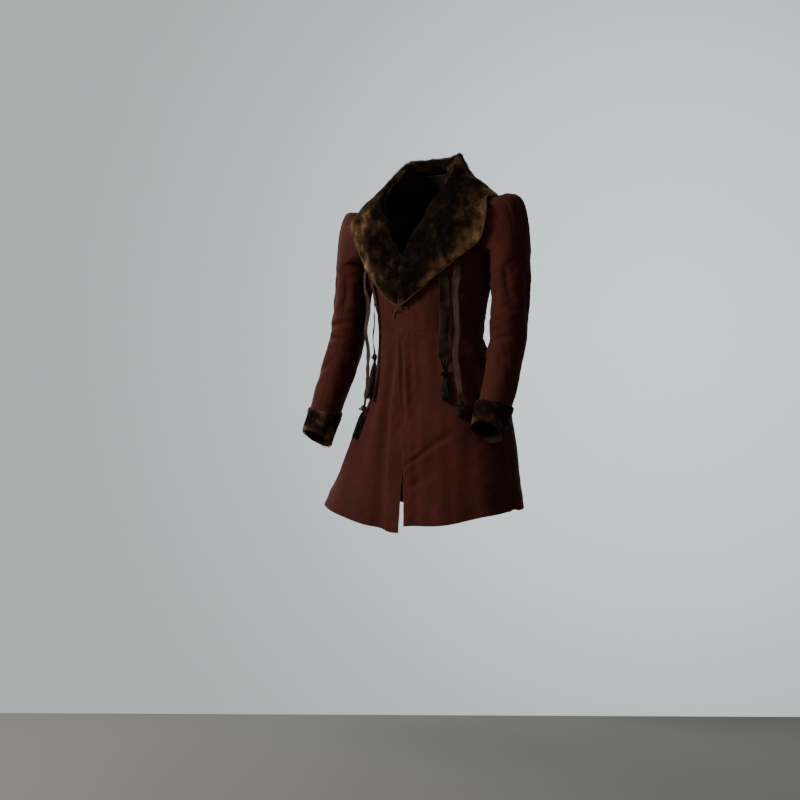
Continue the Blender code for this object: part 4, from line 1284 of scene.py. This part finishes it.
def ribbon(row, seed):
    """A silk ribbon, gathered at its foot into its tassel's knot, with a soft curl and a few kinks."""
    path, across, away = ribbon_path(row, RIBBON_ROWS)
    run = arc(path[:, None, :], 0)[:, 0]
    gather = smooth(run, (0.0, 0.006, 0.034), (0.26, 0.32, 1.0))
    u = np.linspace(-1, 1, 17)[None, :]

    def along_it(size, step):
        return waves(run[:, None], size, seed + step)[:, None]

    wide = row.width / 2 * gather[:, None] * (1 + 0.03 * along_it(0.09, 0))
    pleat = 0.0034 * (1 - gather)[:, None] * np.cos(u * np.pi * 2.5)
    curl = 0.0016 * (u**2 - 0.4) * along_it(0.16, 1)
    wave = 0.0014 * along_it(0.11, 2) + 0.0006 * along_it(0.035, 3) * u
    sway = 0.0016 * along_it(0.19, 4) * smooth(run, (run[-1] - 0.05, run[-1]), (1, 0))[:, None]
    near_top = smooth(run, (run[-1] - 0.05, run[-1] - 0.02), (1, 0))[:, None]
    out = (pleat + (curl + wave) * near_top + 0.0012 * np.abs(near_top))[..., None]
    grid = path[:, None] + across[:, None] * (wide * u + sway)[..., None] + away[:, None] * out
    normal = grid_normals(grid)
    across_run, up = arc(grid, 1), arc(grid, 0)
    rim = np.minimum(across_run, across_run[:, -1:] - across_run)
    values = {"cloth": np.stack([across_run, up, 0 * up], -1), "rim": rim, "seam": 0 * up + 1, "run": up}
    node = f"ribbon_{row.place}"
    piece = shell(f"silk_{node}", grid, grid - normal * SILK_THICK, [SILK, SILK], values)
    return stand_for(piece, node), (path[0], across[0], away[0])


def tassel(row, end, seed):
    """A tassel: a wound knot and neck, and a skirt of threads that hangs plumb."""
    length = row.tassel
    rng = np.random.default_rng(seed)
    point, across, away = end
    bundle = Bundle()
    knot = min(0.016, length * 0.26)
    full = length > LONG_TASSEL

    def line(share):
        place = point - np.array([0.0, 0.0, length * share])
        surface = body(row.turn, place[2])
        need = np.hypot(surface[0], surface[1]) + 0.0125 - np.hypot(place[0], place[1])
        return place + unit(place * [1, 1, 0]) * max(float(need), 0.0)

    top = line(0.0)
    # The ribbon's end is bound with a cord, in turns that swell into a knot and draw in at the neck.
    turns = 9 if full else 6
    angle = np.linspace(0, 2 * np.pi * turns, turns * 11)
    share = angle / angle[-1]
    swell = 0.004 + 0.0036 * np.sin(np.pi * np.clip(share * 1.25, 0, 1)) ** 0.8
    coil = top[None] + across * (swell * np.cos(angle))[:, None]
    coil = coil + away * (0.8 * swell * np.sin(angle))[:, None]
    coil[:, 2] -= -0.003 + share * (knot + 0.003)
    coil = coil + 0.0003 * rng.normal(size=coil.shape)
    bundle.add(coil, 0.0012, 5)
    # The knot's core, which closes it above and within
    core = np.linspace(0, 1, 14)[:, None]
    stem = top[None] + np.array([0.0, 0.0, 0.004]) - core * np.array([0.0, 0.0, knot + 0.007])
    bundle.add(stem, 0.0048 * np.sin(np.pi * np.clip(core[:, 0], 0.06, 0.96)) ** 0.5, 10, offset=0.3)
    # A bow's two short loops and cut ends, worked in the same silk
    for hand in (-1, 1):
        t = np.linspace(0, 1, 16)[:, None]
        loop = 0.011 if full else 0.008
        sweep = across * hand * loop * np.sin(np.pi * t) * 1.2 + away * (0.003 * np.sin(2 * np.pi * t))
        drop = np.array([0.0, 0.0, -1.0]) * (0.002 + loop * 1.5 * t * (1 - 0.55 * t))
        bundle.add(top + sweep + drop + away * 0.004, 0.0017, 6, offset=0.4 + hand * 0.05)
    count = 150 if full else 110
    steps = np.linspace(0, 1, 9)
    base = line(knot / length)
    foot = line(1.0)
    for _ in range(count):
        turn = rng.uniform(0, 2 * np.pi)
        inner = math.sqrt(rng.uniform(0.05, 1.0))
        spread = 0.0062 + 0.0016 * rng.normal()
        flare = inner * (0.0034 + spread * smooth(steps, (0, 0.25, 1), (0, 0.75, 1)))
        reach = rng.uniform(0.86, 1.03)
        clump = 0.0012 * np.sin(3 * turn + 7 * steps)
        centre = base + (foot - base) * (steps * reach)[:, None]
        sway = 0.0011 * np.sin(steps * 5 + turn * 2)[:, None] * across
        radial = across * math.cos(turn) + away * 0.8 * math.sin(turn)
        path = centre + radial * (flare + clump * steps)[:, None] + sway * steps[:, None]
        path = path + rng.normal(0, 0.0004, path.shape) * steps[:, None]
        radius = np.linspace(0.00062, 0.00036, len(steps))
        bundle.add(path, radius, 4, rng.uniform(0, 1), offset=rng.uniform(0, 1))
    node = f"tassel_{row.place}"
    return bundle.piece(f"thread_{node}", THREAD, node, "silk")


# The coat

coat = []
for hand in (1, -1):
    coat += [bodice_front(hand), skirt_front(hand), back(hand), sleeve(hand, True), sleeve(hand, False)]
    base, hairs, grid = collar(hand)
    coat += [base, hairs, *cuff(hand), collar_cord(hand, grid)]
for number, row in enumerate(RIBBONS):
    piece, end = ribbon(row, 110 + 10 * number)
    coat += [piece, tassel(row, end, 200 + number)]

# A piece on both sides, how it is held and by what, what goes with it, and the cut width, length and area of
# the left one and of the right one. An area of None is the whole rectangle's.
PAIRS = [
    ("wool_bodice_front", "hung", ["wool_back"], [], (0.34, 0.47, 0.087), (0.34, 0.47, 0.083)),
    ("wool_skirt_front", "hung", ["wool_bodice_front"], [], (0.4, 0.52, 0.15), (0.44, 0.53, 0.162)),
    ("wool_back", "hung", ["plush_collar"], [], (0.42, 0.97, 0.245), (0.44, 0.97, 0.255)),
    (
        "wool_sleeve_upper", "gathered", ["wool_bodice_front", "wool_back"], [],
        (0.24, 0.66, 0.122), (0.24, 0.66, 0.122),
    ),
    ("wool_sleeve_under", "hung", ["wool_sleeve_upper"], [], (0.17, 0.6, 0.086), (0.17, 0.6, 0.089)),
    (
        "plush_collar", "folded", ["wool_bodice_front"], ["pile_collar", "twist_collar_cord"],
        (0.23, 0.66, 0.09), (0.23, 0.66, 0.088),
    ),
    ("plush_cuff", "laid", ["wool_sleeve_upper"], ["pile_cuff"], (0.076, 0.31, 0.023), (0.076, 0.31, 0.0232)),
]
RIBBON_LENGTHS = (0.275, 0.4, 0.206, 0.41)
pieces = {piece.name: piece for piece in coat}


def cut_sheet(name, held, holders, going, width, length, area=None):
    going = [pieces[other] for other in going]


for name, held, holders, going, *cuts in PAIRS:
    for hand, cut in zip(("left", "right"), cuts):
        holders_here = [f"{other}_{hand}" for other in holders]
        cut_sheet(f"{name}_{hand}", held, holders_here, [f"{other}_{hand}" for other in going], *cut)
for row, length in zip(RIBBONS, RIBBON_LENGTHS):
    tassel_here, collar_here = f"thread_tassel_{row.place}", f"plush_collar_{word(row.turn)}"
    cut_sheet(f"silk_ribbon_{row.place}", "hung", [collar_here], [tassel_here], row.width, length)


# The studio: a grey floor, a pale wall behind it, soft light from the viewer's left and front


def stage_sheet(name, corners, stuff):
    mesh = bpy.data.meshes.new(name)
    mesh.from_pydata(corners, [], [(0, 1, 2, 3)])
    mesh.materials.append(stuff)
    return placed(name, mesh)


def studio_stuff(name, low, high, roughness):
    made = Nodes(name, roughness, specular=0.2)
    return made.done(made.mix(made.fade(made.noise(made.place(), 0.5, 2.0), 0.3, 0.7), low, high))


def wall_stuff(centre):
    """A pale wall with a pool of light on it, seen as its own glow."""
    made = Nodes("wall", 0.9, specular=0.0)
    pool = made.fade(made.vectors("DISTANCE", made.place(), tuple(centre), "Value"), 0.1, 2.9, 1.0, 0.0)
    colour = made.mix(pool, (0.5, 0.56, 0.555), (1.0, 1.13, 1.17))
    made.put(made.shader.inputs["Emission Color"], colour)
    made.shader.inputs["Emission Strength"].default_value = 1.0
    return made.done((0.0, 0.0, 0.0, 1.0))


FLOOR = -1.54
VIEW = math.radians(34.0)
toward = np.array([math.sin(VIEW), -math.cos(VIEW), 0.0])  # from the coat to the camera
right = np.array([math.cos(VIEW), math.sin(VIEW), 0.0])
edge = -0.37 * toward
corners = [edge - 5 * right, edge - 5 * right + 8 * toward, edge + 5 * right + 8 * toward, edge + 5 * right]
grey = studio_stuff("floor", (0.15, 0.148, 0.128), (0.165, 0.162, 0.142), 0.7)
floor = stage_sheet("floor", [(x, y, FLOOR) for x, y, _ in corners], grey)
far = -3.0 * toward
corners = [(-3.4, -4.0), (3.4, -4.0), (3.4, 2.6), (-3.4, 2.6)]
corners = [tuple(far + across * right + [0, 0, height]) for across, height in corners]
wall = stage_sheet("wall", corners, wall_stuff(far + 1.1 * right + [0, 0, -0.35]))


def aimed(obj, place, target):
    forward = unit(np.asarray(target, float) - np.asarray(place, float))
    sideways = unit(np.cross(forward, [0.0, 0.0, 1.0]))
    upright = np.cross(sideways, forward)
    obj.matrix_world = Matrix([*np.stack([sideways, upright, -forward, place], 1).tolist(), (0, 0, 0, 1)])


def softbox(name, place, target, size, power, colour):
    light = bpy.data.lights.new(name, "AREA")
    light.shape = "RECTANGLE"
    light.size, light.size_y = size
    light.energy = power
    light.color = colour
    aimed(placed(name, light), place, target)


middle = np.array([0.0, 0.0, -0.45])
softbox("key", middle + 1.7 * toward - 3.3 * right + [0, 0, 1.6], middle, (1.0, 1.4), 215, (1.0, 0.97, 0.93))
softbox("fill", middle + 3.4 * toward + 0.8 * right + [0, 0, 0.9], middle, (1.6, 1.6), 21, (1.0, 0.98, 0.96))
softbox("back", middle - 2.0 * toward - 2.3 * right + [0, 0, 1.2], middle, (1.0, 1.4), 42, (0.97, 0.98, 1.0))
softbox("top", middle - 0.6 * right + [0, 0, 2.4], middle, (1.2, 1.2), 16, (0.97, 0.98, 1.0))

world = bpy.data.worlds.new("studio")
world.use_nodes = True
sky = world.node_tree.nodes["Background"].inputs
sky["Color"].default_value = (0.62, 0.68, 0.7, 1.0)
sky["Strength"].default_value = 0.085
bpy.context.scene.world = world

# The camera: level with the coat's middle, 4 m away, with the axis of the coat right of and above the centre
DISTANCE, SEEN = 4.0, 1500.0
LEVEL = np.array([0.0, 0.0, -0.5])
place = LEVEL + DISTANCE * toward
data = bpy.data.cameras.new("camera")
data.sensor_width, data.lens = 36.0, 67.5
data.clip_start, data.clip_end = 0.1, 100.0
camera = placed("camera", data)
target = LEVEL - DISTANCE * 31 / SEEN * right + [0, 0, -DISTANCE * 40 / SEEN]
aimed(camera, place, target)
bpy.context.scene.camera = camera
